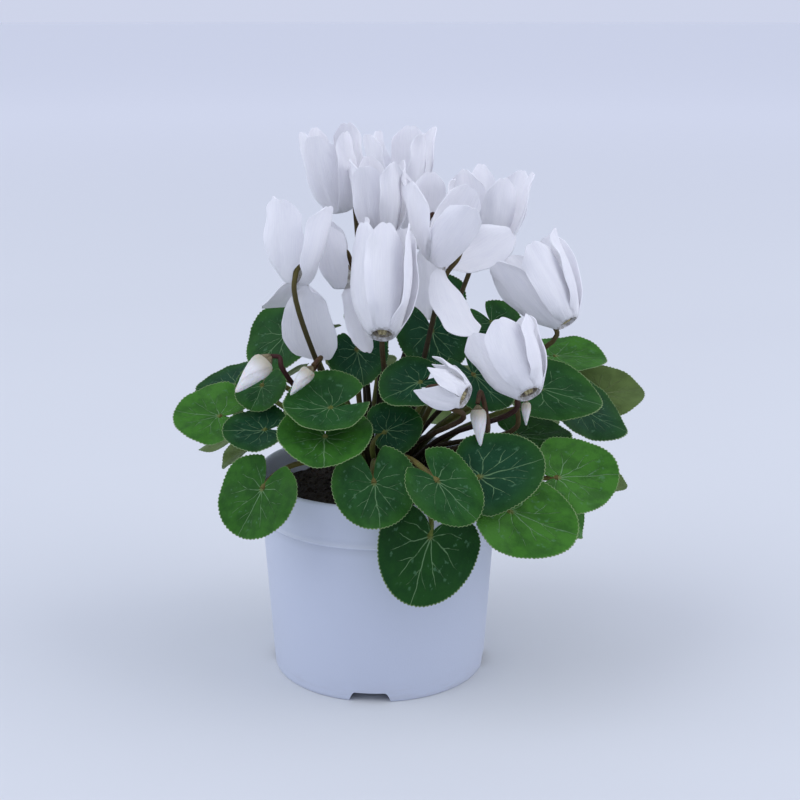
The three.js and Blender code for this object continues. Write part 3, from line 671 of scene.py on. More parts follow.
def potMesh():
    p = potShape
    foot, rim, top, band, pad = p["foot"], p["rim"], p["height"], p["band"], p["pad"]
    under, bottom, inner = p["floorUnder"], p["floorTop"], foot - p["footRing"]
    profile = [
        # The underside: a pad in the middle, the raised floor and the ring that the pot stands on.
        (0, 0), (pad - 0.6, 0), (pad, 0.2), (pad + 0.5, 0.8), (pad + 2.5, under - 0.6), (pad + 3.2, under),
        (inner - 0.6, under), (inner, under - 0.4), (inner + 0.2, under - 1.0), (inner + 0.8, 0.5),
        (inner + 1.3, 0), (foot - 0.8, 0), (foot - 0.2, 0.25), (foot + 0.05, 0.9),
        # The outer wall.
        *((potWall(h), h) for h in (2.0, 6, 25, 50, band - 6, band - 1.6)),
        # The band with its bead, and the lip.
        (potWall(band) - 0.2, band - 0.6), (potWall(band) + 0.75, band - 0.3),
        (potWall(band) + 1.15, band + 0.25), (potWall(band) + 1.1, band + 0.8),
        (potWall(band) + 0.7, band + 1.7), (potWall(85) + 0.6, 85), (potWall(90) + 0.6, 90),
        (rim - 0.15, top - 3.0), (rim, top - 1.4), (rim - 0.15, top - 0.5), (rim - 0.6, top - 0.05),
        (rim - 1.3, top), (rim - 1.9, top - 0.3), (rim - 2.35, top - 1.1), (rim - 2.6, top - 3),
        # The inner wall and the floor.
        *((potRadius(h), h) for h in (60, 25, 10)),
        (potRadius(7.6) - 0.3, bottom + 0.8), (potRadius(7) - 1.2, bottom),
        (pad + 1.6, bottom), (pad + 0.8, bottom - 0.4), (pad - 2, 2.2), (pad - 2.6, 2), (0, 2),
    ]
    turns = list(np.linspace(0, 360, p["sides"], endpoint=False))
    for i in range(p["notches"]):
        middle = p["notchTurn"] + 360 * i / p["notches"]
        half = math.degrees(p["notchWidth"] / 2 / foot)
        inward = p["notchSlope"] / (p["notchWidth"] / 2)
        for edge in (-half, half):
            turns = [t for t in turns if abs((t - middle - edge + 180) % 360 - 180) > 0.9]
            turns += [(middle + edge * (1 - inward * k)) % 360 for k in notchSteps]
    turns = sorted(turns)

    def lift(turn):
        # Height of the notch over a turn, with sloped sides and rounded upper corners.
        for i in range(p["notches"]):
            off = (turn - p["notchTurn"] - 360 * i / p["notches"] + 180) % 360 - 180
            inside = (p["notchWidth"] / 2 - abs(math.radians(off) * foot)) / p["notchSlope"]
            if inside > 0:
                return p["notchHeight"] * (1 - (1 - min(1.0, inside)) ** 1.7)
        return 0.0

    columns = len(turns)
    lifts = [lift(t) for t in turns]

    def place(radius, height, column):
        spot = int(round(column * columns / 360.0)) % columns
        if radius > inner - 1:
            height = max(height, lifts[spot])
        return ringPoint(radius, turns[spot], height)

    return turnedGrid(profile, columns, place)


def drainTree():
    # Holes on a circle, cut straight down through the floor.
    tree = Grower("drainHoles", {
        "Count": ("NodeSocketInt", 6),
        "Circle": ("NodeSocketFloat", 0.035),
        "Hole": ("NodeSocketFloat", 0.0045),
        "Finish": ("NodeSocketMaterial", None),
    })
    spots = tree.add("GeometryNodePoints", {}, {0: tree.given("Count")})
    drill = tree.add("GeometryNodeMeshCylinder", {}, {0: 32, 3: tree.given("Hole"), 4: 0.02})
    out = tree.add("ShaderNodeCombineXYZ", {}, {1: tree.given("Circle"), 2: 0.006})
    drill = tree.add("GeometryNodeTransform", {}, {0: drill, 1: out})
    drills = tree.copies(spots, drill, tree.turnEach(tree.given("Count")))
    drills = tree.add("GeometryNodeRealizeInstances", {}, {0: drills})
    cut = {"operation": "DIFFERENCE", "solver": "EXACT"}
    drilled = tree.add("GeometryNodeMeshBoolean", cut, {0: tree.given("Geometry"), 1: drills})
    return tree.finish(tree.solid(drilled))


potPlastic = potFinish()
potBody = Shape()
potBody.add(*potMesh())
pot = potBody.piece("potBody", [potPlastic])
drainTree().grow(pot, Count=potShape["drains"], Circle=potShape["drainCircle"] * mm,
                 Hole=potShape["drainRadius"] * mm, Finish=potPlastic)
pot.data.polygons.foreach_set("use_smooth", [True] * len(pot.data.polygons))
pot.data.set_sharp_from_angle(angle=math.radians(42))
settle(pot, "pot", "pot")
print("pot made")

compostShape = {
    "edge": 87, "middle": 90, "bottom": 7.35, "clear": 0.9, "corner": 1.6, "rings": 26, "columns": 120,
    "bump": 0.9, "fineBump": 0.4, "crumbs": 1500, "crumbSize": 0.0016,
}
tuberShape = {"radius": 23, "height": 15, "centre": 84, "rough": 0.5, "rings": 40, "columns": 96}
rootDepth = 6


def rough(x, y, seed, scale):
    # Smooth bumps from a few crossed waves, about -1 to 1.
    total = 0.0
    for k in range(5):
        angle, step = seed + k * 2.4, scale * (1 + 0.55 * k)
        total = total + np.sin((x * math.cos(angle) + y * math.sin(angle)) * step + seed * (k + 1.3)) / (1 + 0.4 * k)
    return total / 3.0


def compostMesh():
    c = compostShape
    outer = potRadius(c["edge"]) - c["clear"]
    profile = [(0, c["bottom"]), (potRadius(7) - c["clear"] - c["corner"], c["bottom"]),
               (potRadius(10) - c["clear"], 10), (outer, c["edge"] - 0.6)]
    profile += [(r, 0) for r in np.linspace(outer, 0.6, c["rings"])] + [(0, 0)]

    def place(radius, height, turn):
        x, y, _ = compass(turn) * radius
        if height == 0:
            height = mix(c["middle"], c["edge"], float(smooth(30, outer, radius)))
            height += c["bump"] * float(rough(x, y, 4.0, 0.35)) + c["fineBump"] * float(rough(x, y, 9.0, 1.1))
            height = max(height, c["edge"] - 0.5) if radius > outer - 1 else height
        return [x, y, height]

    return turnedGrid(profile, c["columns"], place)


def crumbTree():
    # Crumbs scattered over the upper side, clear of the pot's wall.
    tree = Grower("compostCrumbs", {
        "Density": ("NodeSocketFloat", 100000.0),
        "Crumb": ("NodeSocketFloat", 0.0015),
        "Lowest": ("NodeSocketFloat", 0.086),
        "Widest": ("NodeSocketFloat", 0.054),
        "Finish": ("NodeSocketMaterial", None),
    })
    x, y, z = tree.add("GeometryNodeInputPosition").split()
    wide = x.maths("SQRT", x * x + y * y)
    upTop = z.maths("GREATER_THAN", z, tree.given("Lowest")) * wide.maths("LESS_THAN", wide, tree.given("Widest"))
    ground = {0: tree.given("Geometry"), 1: upTop, 4: tree.given("Density"), "Seed": 11}
    scatter = tree.add("GeometryNodeDistributePointsOnFaces", {}, ground)
    crumb = tree.add("GeometryNodeMeshIcoSphere", {}, {0: tree.given("Crumb"), 1: 1})
    size = tree.anyBetween((0.25, 0.25, 0.2), (1.1, 0.8, 0.7), 3)
    turn = tree.anyBetween((0, 0, 0), (6.28, 6.28, 6.28), 5)
    return tree.finish(tree.solid(tree.copies(scatter, crumb, turn, size)), tree.given("Geometry"))


compostSoil = compostFinish("compostSoil", "soil")
crumbSoil = compostFinish("crumbSoil", "crumb")
compostBody = Shape()
compostBody.add(*compostMesh())
compost = compostBody.piece("compostHeap", [compostSoil])
area = math.pi * (potRadius(90) * mm) ** 2
widest = (potRadius(compostShape["edge"]) - compostShape["clear"] - compostShape["corner"]) * mm
crumbTree().grow(compost, Density=compostShape["crumbs"] / area, Crumb=compostShape["crumbSize"], Widest=widest,
                 Finish=crumbSoil)
settle(compost, "compost", "compost")


def tuberMesh():
    t = tuberShape
    steps = np.concatenate([[-1], -np.cos(np.linspace(0.12, math.pi - 0.12, t["rings"])), [1]])
    profile = [(t["radius"] * math.sqrt(max(0.0, 1 - h * h)), h) for h in steps]

    def place(radius, h, turn):
        out = compass(turn) * radius
        x, y = out[0] / t["radius"], out[1] / t["radius"]
        bump = float(rough(x * 9, y * 9 + h * 4, 2.0, 1.0)) + 0.5 * float(rough(x * 21, y * 21 + h * 9, 6.0, 1.0))
        grow = 1 + t["rough"] * bump / t["radius"]
        return [out[0] * grow, out[1] * grow, t["centre"] + h * t["height"] * grow]

    return turnedGrid(profile, t["columns"], place)


tuberBody = Shape()
tuberBody.add(*tuberMesh())
tuber = tuberBody.piece("tuberBody", [tuberFinish()])
settle(tuber, "tuber", "tuber")
print("compost and tuber made")

leafShape = {
    "thick": 0.55, "edgeThick": 0.3, "toothStep": 1.8, "toothDeep": 0.62, "pointsPerTooth": 2,
    "rings": [0.07, 0.15, 0.25, 0.36, 0.47, 0.58, 0.68, 0.77, 0.85, 0.915, 0.965, 0.985, 1.0],
    "sinus": 24, "stalk": 1.4, "stalkSides": 10, "stalkSteps": 22,
    "stalkOut": 0.12, "stalkUp": 0.32, "stalkArrive": 0.28,
    "wave": 0.05, "fineWave": 0.03, "fold": 0.035, "frill": 0.012,
}

# How fresh a leaf's green is, and how blue. The tones are partly each leaf's own green and partly painted light and
# shade: leaves that catch light or a sheen were set to lighter tones, and 'shade' paints a leaf in shadow.
leafTones = {
    "bright": (0.95, 0.0), "fresh": (0.62, 0.1), "mid": (0.36, 0.5), "deep": (0.12, 0.9), "olive": (0.24, 0.0),
    "shade": (0.02, 0.0),
}

# Blade rows: stalk's end (x, y, z), side faced, lean, turn of the tip, half width, tip length, lobe length,
# raised edges, tone and, if not the usual, half angle of the notch. The leaves of a group share a growing
# point (ring radius, azimuth).
leafGroups = [
    ((17, 3), [
        (-1, -73, 117, 0, 62, 8, 19, 21, 15, 0.1, "mid"),
        (4, -50, 134, 20, 58, 108, 13, 18, 7, 0.1, "deep")]),
    ((17, 19), [
        (24, -73, 92, 4, 72, -18, 23, 32, 14, 0.1, "shade", 62),
        (27, -82, 121, 12, 66, 40, 15, 24, 13, 0.08, "mid")]),
    ((17, 35), [
        (60, -68, 102, 18, 60, 62, 20, 32, 15, 0.12, "bright"),
        (46, -70, 119, 12, 62, 102, 18.5, 31, 9, 0.1, "deep")]),
    ((17, 63), [
        (83, -50, 112, 25, 56, 84, 19, 31, 9, 0.1, "bright"),
        (66, -30, 126, 15, 24, 62, 18, 25, 10, 0.1, "olive")]),
    ((17, 82), [
        (97, -8, 134, 35, 46, 40, 17, 26, 12, 0.1, "deep"),
        (86, -16, 90, 60, 60, 20, 17, 24, 10, 0.1, "bright")]),
    ((17, 100), [
        (110, 24, 132, 150, 62, -105, 17, 25, 11, 0.12, "fresh"),
        (106, 6, 96, 140, 55, -60, 14, 19, 9, 0.1, "fresh")]),
    ((17, 122), [(72, 48, 122, 125, 42, 0, 20, 28, 12, 0.1, "mid")]),
    ((17, 145), [(36, 66, 134, 150, 30, -20, 19, 26, 12, 0.1, "deep")]),
    ((17, 168), [(20, 84, 112, 168, 50, 5, 20, 28, 12, 0.1, "fresh")]),
    ((17, 195), [
        (-10, 66, 138, 182, 30, 10, 19, 26, 12, 0.1, "mid"),
        (-34, 76, 112, 205, 52, -8, 19, 27, 12, 0.1, "bright")]),
    ((17, 225), [(-52, 50, 134, 225, 34, 0, 18, 25, 12, 0.1, "deep")]),
    ((17, 244), [(-74, 34, 112, 240, 50, 8, 17, 24, 11, 0.1, "mid")]),
    ((17, 263), [
        (-70, 6, 142, -50, 30, -50, 16, 21, 11, 0.1, "deep"),
        (-62, -8, 116, -120, 52, 20, 15, 19, 9, 0.1, "fresh")]),
    ((17, 285), [(-75, -24, 134, -14, 36, -88, 18, 22, 12, 0.12, "bright")]),
    ((17, 306), [(-52, -44, 133, -15, 30, -75, 14.5, 19, 10, 0.12, "deep")]),
    ((17, 322), [(-52, -60, 110, -15, 66, -20, 18.5, 24, 13, 0.1, "fresh")]),
    ((17, 342), [
        (-23, -62, 135, 0, 30, 0, 21.5, 20, 17, 0.16, "fresh"),
        (-21, -53, 146, -5, 27, -72, 20, 21, 16, 0.25, "mid")]),
    ((12, 76), [(45, -29, 155, 18, 46, 25, 16.5, 23, 12, 0.12, "deep")]),
    ((12, 92), [
        (76, -27, 148, 5, 42, 68, 17, 30, 9, 0.08, "mid"),
        (88, 18, 153, 10, 20, 84, 16, 26, 12, 0.06, "bright")]),
    ((12, 122), [
        (56, 18, 170, 20, 40, 20, 16, 20, 11, 0.1, "mid"),
        (28, 46, 179, 10, 40, 10, 16, 20, 12, 0.1, "deep")]),
    ((12, 210), [
        (0, 44, 165, 175, 24, 20, 18, 25, 12, 0.1, "fresh"),
        (-36, 44, 158, 215, 26, 0, 18, 24, 12, 0.1, "mid")]),
    ((12, 275), [
        (-46, 12, 166, -25, 52, -20, 18, 23, 13, 0.1, "mid"),
        (-54, -30, 150, -12, 46, -8, 12.5, 14, 10, 0.12, "mid")]),
    ((12, 12), [(19.5, -42, 155, 5, 36, -60, 15, 20.5, 11, 0.14, "deep")]),
    ((7, 335), [(-10, -12, 163, -5, 50, 15, 15, 20, 10, 0.1, "deep")]),
    ((7, 84), [(26, 0, 170, 5, 52, 10, 18, 24, 13, 0.1, "deep")]),
]


def rootPoint(root, height):
    return ringPoint(*root, height)


def tuberTop(ring):
    return tuberShape["centre"] + tuberShape["height"] * math.sqrt(1 - (ring / tuberShape["radius"]) ** 2)


def leafAxes(row):
    x, y, z, face, lean, spin = row[:6]
    down, right, normal = compass(face, lean), compass(face + 90), compass(face, lean - 90)
    turn = math.radians(spin)
    tip = down * math.cos(turn) + right * math.sin(turn)
    return np.array([x, y, z], float), tip, np.cross(normal, tip), normal


def leafReach(angle, half, tip, lobe, sinus):
    along = np.cos(angle) / np.where(np.cos(angle) > 0, tip, lobe * 1.15)
    reach = 1 / np.hypot(np.sin(angle) / half, along)
    return reach * mix(0.1, 1.0, smooth(0, math.radians(sinus), math.pi - np.abs(angle)))


def leafRise(angle, reach, half, raised, seed):
    look = leafShape
    out = reach / half
    wave = np.sin(3 * angle + seed * 1.7) * look["wave"] + np.sin(5 * angle + seed) * look["fineWave"]
    fold = look["fold"] * (np.abs(np.sin(angle)) - 0.5) * out
    frill = look["frill"] * np.sin(11 * angle + seed * 2.3) * smooth(0.6, 1.0, out)
    return half * (raised * out**1.6 + wave * out * out + fold + frill)


def addBlade(shape, row, seed):
    look = leafShape
    at, tip, across, normal = leafAxes(row)
    half, tipLength, lobe, raised, tone = row[6:11]
    sinus = row[11] if len(row) > 11 else look["sinus"]
    fineAngle = np.linspace(-math.pi, math.pi, 1441)
    fineReach = leafReach(fineAngle, half, tipLength, lobe, sinus)
    outline = np.stack([fineReach * np.cos(fineAngle), fineReach * np.sin(fineAngle)], axis=1)
    run = np.concatenate([[0], np.cumsum(np.linalg.norm(np.diff(outline, axis=0), axis=1))])
    teeth = int(round(run[-1] / look["toothStep"]))
    columns = teeth * look["pointsPerTooth"]
    angle = np.interp(np.arange(columns) * run[-1] / columns, run, fineAngle)
    reach = leafReach(angle, half, tipLength, lobe, sinus)
    place = np.arange(columns) / look["pointsPerTooth"]
    size = 0.75 + 0.35 * np.sin(np.floor(place) * 2.1 + seed) * np.sin(np.floor(place) * 0.7 + seed * 3)
    bump = np.sqrt(np.abs(np.sin(math.pi * (place % 1.0)))) - 0.6
    tooth = look["toothDeep"] * size * bump * smooth(math.radians(8), math.radians(30), math.pi - np.abs(angle))
    rings = np.array(look["rings"])
    reachGrid = rings[:, None] * reach[None, :] + smooth(0.9, 1.0, rings)[:, None] * tooth[None, :]
    angleGrid = np.broadcast_to(angle, reachGrid.shape)
    rise = leafRise(angleGrid, reachGrid, half, raised, seed)
    flatAlong, flatAcross = reachGrid * np.cos(angleGrid), reachGrid * np.sin(angleGrid)
    grid = at + flatAlong[..., None] * tip + flatAcross[..., None] * across + rise[..., None] * normal
    thick = mix(look["thick"], look["edgeThick"], smooth(0.7, 1.0, rings))[:, None, None]
    offset = gridNormals(grid, True) * (thick / 2)
    count = len(rings) * columns
    middle = at + normal * leafRise(0.0, 0.0, half, raised, seed)
    points = np.concatenate([
        (grid + offset).reshape(-1, 3), (grid - offset).reshape(-1, 3),
        [middle + normal * look["thick"] / 2, middle - normal * look["thick"] / 2]])
    upper = quads(len(rings), columns, True)
    lower = [tuple(count + i for i in reversed(face)) for face in upper]
    top, bottom = 2 * count, 2 * count + 1
    edge = (len(rings) - 1) * columns
    hubs, rim = [], []
    for c in range(columns):
        n = (c + 1) % columns
        hubs += [(top, c, n), (bottom, count + n, count + c)]
        rim.append((edge + c, count + edge + c, count + edge + n, edge + n))
    finish = [0] * len(upper) + [1] * len(lower) + [0, 1] * columns + [0] * len(rim)
    outward = np.broadcast_to(rings[:, None], flatAlong.shape)
    blade = np.stack([flatAlong / tipLength, flatAcross / half, outward], axis=2)
    blade = np.concatenate([blade.reshape(-1, 3), blade.reshape(-1, 3), [(0, 0, 0), (0, 0, 0)]])
    shape.add(points, upper + lower + hubs + rim, finish, blade=blade, tone=(*leafTones[tone], seed * 1.37))


def addLeafStalk(shape, row, root, seed):
    look = leafShape
    at, tip, _, normal = leafAxes(row)
    lean = row[4] / 90
    along = unit(tip * (0.35 + 0.6 * lean) + normal * (0.65 - 0.6 * lean))
    top = tuberTop(root[0])
    start = rootPoint(root, top + 1.5)
    reach = np.linalg.norm(at - start)
    flat = unit(np.array([at[0] - start[0], at[1] - start[1], 0.0]))
    lift = start + flat * reach * look["stalkOut"] + np.array([0, 0, reach * look["stalkUp"]])
    arrive = at - along * reach * look["stalkArrive"]
    end = at + normal * 0.1
    path = [rootPoint(root, top - rootDepth)]
    for t in np.linspace(0, 1, look["stalkSteps"]):
        path.append(start * (1 - t) ** 3 + lift * 3 * t * (1 - t) ** 2 + arrive * 3 * t * t * (1 - t) + end * t**3)
    share = np.linspace(0, 1, len(path))
    radii = look["stalk"] * (1.12 - 0.3 * share + 0.12 * smooth(0.93, 1.0, share))
    addLine(shape, path, radii, 0.08 + 0.3 * ((seed * 37) % 10) / 10, seed)


seed = 0
for number, (root, rows) in enumerate(leafGroups, 1):
    body = Shape()
    for row in rows:
        seed += 1
        addBlade(body, row, seed)
        addLeafStalk(body, row, root, seed)
    leaf = body.piece(f"leaf{number:02d}", [leafTop, leafUnder])
    tubeGrower.grow(leaf, Sides=leafShape["stalkSides"], Finish=stalkSkin)
    settle(leaf, "leaf", f"leaf_{number:02d}")
print("leaves made:", seed)

flowerShape = {
    "cupRadius": 5.0, "cupHeight": 9.6, "thick": 0.42, "rows": 40, "columns": 19,
    "twist": 18, "twistSettled": 0.3, "sweptAt": [0, 0.03, 0.08, 0.3, 0.62, 1],
    "sweptBend": [-72, -40, -21, -8, 6, 14], "hangingStart": 60, "hangingSettled": 0.2, "hangingCurl": 8,
    "stalk": 1.15, "stalkSides": 12, "clear": 7.4, "foot": 12, "loop": 7, "archLoop": 4.5, "stalkRoom": 13,
    "calyxGap": 0.68, "calyxHeight": 3.0, "calyxSunk": 1.6, "anthersUp": 0.6,
    "tipRound": 0.15, "tipNotch": 0.02, "tipPoint": 0.35, "crease": 0.35, "ripple": 0.5, "edgeCurl": 1.3,
}
cupProfile = [(0.25, 9.62), (1.3, 9.5), (2.5, 9.05), (3.5, 8.1), (4.15, 6.8), (4.6, 5.2), (4.85, 3.4), (4.95, 1.6)]
nearSide = (0.0, -1.0, 0.27)  # the way that tipped mouths face
petalShare = [0, 0.05, 0.12, 0.28, 0.45, 0.62, 0.8, 1]
petalWidth = [0.45, 0.52, 0.62, 0.84, 0.97, 1.0, 0.93, 0.66]

# Flowers: mouth, the side and angle that the top leans to, side of the stalk and how far it bows out (x, y),
# growing point, petal length and width, how far the petals close, are pointed and have their mouth tipped,
# each petal's turn from the stalk, sweep (180 is fully back) and, if not the usual, twist, and how red the
# stalk is.
flowers = [
    {"mouth": (-37, -30, 199), "lean": (90, 8), "side": 0, "bow": (-6, -8), "root": (7, 300), "size": (42, 22),
     "petals": [(42, 168), (116, 14, 60), (-168, 55), (-108, 168), (-42, 168)], "red": 0.4},
    {"mouth": (2.5, -50, 179), "lean": (174, 19), "side": 180, "bow": (3, -3), "root": (7, 5), "size": (53, 18),
     "closing": 9, "tipped": 23, "petals": [(52, 173), (118, 172), (182, 174), (-116, 171), (-52, 173)], "red": 0.75},
    {"mouth": (-19, 28, 224), "lean": (-60, 9), "side": 90, "root": (7, 230), "size": (43, 17),
     "petals": [(52, 170), (118, 169), (180, 172), (-118, 170), (-52, 170)], "red": 0.6},
    {"mouth": (2, 8, 214), "lean": (-50, 4), "side": 150, "root": (2.6, 330), "size": (40, 17),
     "petals": [(52, 171), (118, 172), (180, 172), (-118, 171), (-52, 171)], "red": 0.7},
    {"mouth": (12, 60, 223), "lean": (-60, 3), "side": 340, "root": (7, 180), "size": (42, 18),
     "petals": [(58, 165), (118, 165), (180, 166), (-118, 164), (-58, 165)], "red": 0.5},
    {"mouth": (27, -16, 206), "lean": (78, 34), "side": 78, "bow": (6, -10), "root": (2.6, 40), "size": (40, 21),
     "petals": [(50, 138), (114, 162), (-150, 140), (-88, 163), (-38, 70, -15)], "red": 0.65},
    {"mouth": (55, 36, 202), "lean": (60, 4), "side": 250, "bow": (6, 2), "root": (7, 140), "size": (46, 19),
     "petals": [(52, 165), (118, 164), (180, 165), (-118, 164), (-52, 165)], "red": 0.6},
    {"mouth": (90, -10, 176), "lean": (-112, 34), "side": -108, "bow": (0, 6), "root": (7, 112), "size": (46, 20),
     "tipped": 16, "petals": [(52, 165), (118, 164), (180, 167), (-118, 164), (-52, 165)], "red": 0.6},
    {"mouth": (68, -62, 155), "lean": (-132, 32), "side": -120, "root": (12, 44), "size": (37, 19), "tipped": 20,
     "petals": [(52, 167), (118, 167), (180, 167), (-118, 167), (-52, 167)], "red": 0.95},
    {"mouth": (39, -74, 157), "lean": (-104, 68), "side": -100, "root": (12, 29), "size": (22, 11),
     "pointed": 0.8, "tipped": 15, "petals": [(56, 168), (118, 164), (180, 168), (-118, 164), (-56, 168)], "red": 0.8},
    {"mouth": (-15, -10, 193), "lean": (225, 8), "side": 150, "root": (2.6, 240), "size": (34.5, 16),
     "petals": [(52, 169), (118, 168), (180, 169), (-128, 20), (-52, 169)], "red": 0.7},
    {"mouth": (23, 27, 206), "lean": (20, 4), "side": 120, "root": (2.6, 150), "size": (38, 17),
     "petals": [(52, 170), (118, 171), (180, 171), (-118, 25), (-52, 170)], "red": 0.9},
]


def flowerAxes(position, lean, side):
    up = compass(lean[0], lean[1] - 90)
    out = compass(side)
    out = unit(out - up * out.dot(up))
    return np.array(position, float), up, out, np.cross(up, out)


def flowerPoint(axes, radius, height, turn):
    at, up, out, across = axes
    a = math.radians(turn)
    return at + out * radius * math.cos(a) + across * radius * math.sin(a) + up * height


def petalSpine(sweep, length, flare, closing):
    look = flowerShape
    steps = 100
    swept = sweep > 90
    spine = [(look["cupRadius"], 0.0, look["hangingStart"])]
    for i in range(1, steps + 1):
        radius, height, _ = spine[-1]
        share = i / steps
        if swept:
            angle = sweep + closing * share + float(np.interp(share, look["sweptAt"], look["sweptBend"]))
        else:
            settled = float(smooth(0, look["hangingSettled"], share))
            angle = mix(look["hangingStart"], sweep, settled) + look["hangingCurl"] * share
        angle -= flare * float(smooth(0.78, 1.0, share)) * (1 if swept else -1)
        a = math.radians(angle)
        spine.append((radius + math.sin(a) * length / steps, height - math.cos(a) * length / steps, angle))
    return np.array(spine)


def tippedMouth(grid, axes, shares, tipped):
    # Lifts the near side of the mouth and lowers the far side, fading out along the petals and up the tube.
    at, up = axes[:2]
    near = unit(np.array(nearSide) - up * np.dot(nearSide, up))
    tube = [float(smooth(9.6, 1.6, height)) for _, height in cupProfile]
    petals = [1 - float(smooth(0.04, 0.4, share)) for share in shares]
    lift = math.tan(math.radians(tipped)) * ((grid - at) @ near) * np.array(tube + petals)[:, None]
    return grid + lift[..., None] * up


def addPetal(shape, axes, petal, before, after, flower, seed):
    # One fifth of a flower: its part of the tube, and its petal from the mouth on.
    look = flowerShape
    turn, sweep = petal[:2]
    stalkTurn = (turn + 180) % 360 - 180
    turned = petal[2] if len(petal) > 2 else look["twist"]
    length, width = flower["size"]
    closing, pointed = flower.get("closing", 0.0), flower.get("pointed", 0.0)
    rng = np.random.default_rng(seed)
    flare = rng.random() * 20 - 2
    phase = rng.random() * 6.28
    lop = rng.normal() * 0.06
    ruffle = 0.7 + rng.random()
    length *= 0.95 + rng.random() * 0.07
    width *= 0.96 + rng.random() * 0.08
    turned += rng.normal() * 5
    spine = petalSpine(sweep, length, flare, closing)
    at, up, out, side = axes
    across = np.linspace(-1, 1, look["columns"])
    wide = np.where(across < 0, before, after)
    turns = np.radians(turn + across * wide)
    around = out * np.cos(turns)[:, None] + side * np.sin(turns)[:, None]
    rows = [at + around * r + up * h for r, h in cupProfile]
    marks = [[(-0.9 + 0.85 * i / len(cupProfile), c, seed) for c in across] for i in range(len(cupProfile))]
    outward = out * math.cos(math.radians(turn)) + side * math.sin(math.radians(turn))
    sideways = np.cross(up, outward)
    inward = 1 if sweep > 90 else -1
    tipReach = 1 - look["tipRound"] * np.abs(across) ** 2.4
    tipReach -= look["tipNotch"] * np.exp(-(across / 0.2) ** 2) * (1 - pointed)
    tipReach -= pointed * look["tipPoint"] * np.abs(across) ** 1.3
    for i in range(look["rows"]):
        share = np.clip((i / (look["rows"] - 1)) * tipReach, 0, 1)
        place = share * (len(spine) - 1)
        radius, height, angle = (np.interp(place, np.arange(len(spine)), spine[:, k]) for k in range(3))
        half = width / 2 * np.interp(share, petalShare, petalWidth)
        half = half * (1 - pointed * look["tipPoint"] * smooth(0.5, 1, share))
        if abs(stalkTurn) < 100:
            room = np.radians(abs(stalkTurn) - look["stalkRoom"]) * radius
            near = (across * stalkTurn < 0) * (1 - smooth(0.16, 0.34, share))
            half = mix(half, np.minimum(half, room), near)
        span = across * half * (1 + lop * np.sign(across) * smooth(0.1, 0.6, share))
        twist = math.radians(turned) * smooth(0, look["twistSettled"], share)
        sag = span * span / (2 * np.maximum(look["cupRadius"], radius))
        crease = look["crease"] * np.exp(-(across / 0.16) ** 2) * smooth(0.05, 0.3, share)
        crease = crease * (1 - smooth(0.7, 1.0, share))
        wave = ruffle * np.abs(across) ** 2 * smooth(0.3, 0.75, share) * np.sin(share * 10 + phase + across * 1.6)
        wave = wave + look["ripple"] * ruffle * smooth(0.5, 1.0, share) * np.sin(across * 3.2 + phase * 2)
        curl = look["edgeCurl"] * np.abs(across) ** 4 * smooth(0.5, 0.95, share) * math.sin(phase * 3)
        facing = outward * np.cos(np.radians(angle))[:, None] + up * np.sin(np.radians(angle))[:, None]
        lift = (span * np.sin(twist) + sag) * inward + crease + wave - curl
        flat = at + outward * radius[:, None] + up * height[:, None]
        flat = flat + sideways * (span * np.cos(twist))[:, None] + facing * lift[:, None]
        ring = at + around * radius[:, None] + up * height[:, None]
        rows.append(mix(ring, flat, smooth(0.0, 0.09, share)[:, None]))
        marks.append([(float(s), c, seed) for s, c in zip(share, across)])
    grid = tippedMouth(np.array(rows), axes, np.linspace(0, 1, look["rows"]), flower.get("tipped", 0.0))
    points, faces, sides = thinSheet(grid, look["thick"])
    cupFaces = (len(cupProfile) - 1) * (look["columns"] - 1)
    faceCount = (len(rows) - 1) * (look["columns"] - 1)
    finish = [1 if s == 1 and (i - faceCount) < cupFaces else 0 for i, s in enumerate(sides)]
    marks = np.array(marks).reshape(-1, 3)
    shape.add(points, faces, finish, petal=np.concatenate([marks, marks]))


def hookedPath(axes, grown, base):
    # The stalk runs down beside the flower for the foot's length, or arches straight over where that is below 0.
    look = flowerShape
    bow, foot, clear = grown.get("bow", (0, 0)), grown.get("foot", look["foot"]), grown.get("clear", look["clear"])
    top = tuberTop(grown["root"][0])
    start = rootPoint(grown["root"], top + 1.5)
    beside = flowerPoint(axes, clear, base - foot, 0)
    middle = mix(start, beside, 0.5)
    middle[0] = mix(middle[0], start[0], 0.25) + bow[0]
    middle[1] = mix(middle[1], start[1], 0.25) + bow[1]
    knots = [start, middle, beside]
    if foot > 0:
        knots.append(flowerPoint(axes, clear, base - 1, 0))
    knots.append(flowerPoint(axes, clear * 0.5, base + look["loop" if foot > 0 else "archLoop"], 0))
    knots.append(flowerPoint(axes, 0, base + look["calyxHeight"] * 0.7, 0))
    return [rootPoint(grown["root"], top - rootDepth)] + roundSpline(knots, 8)


def ringShapeOf(name, points, faces, count, material):
    # A small shape repeated round the Z axis, read back as points and faces in millimetres.
    one = Shape()
    one.add(points, faces)
    made = one.piece(name, [material])
    roundGrower.grow(made, Count=count, Finish=material)
    data = made.data
    spots = np.empty(len(data.vertices) * 3)
    data.vertices.foreach_get("co", spots)
    polygons = [tuple(p.vertices) for p in data.polygons]
    bpy.data.objects.remove(made)
    return spots.reshape(-1, 3) / mm, polygons


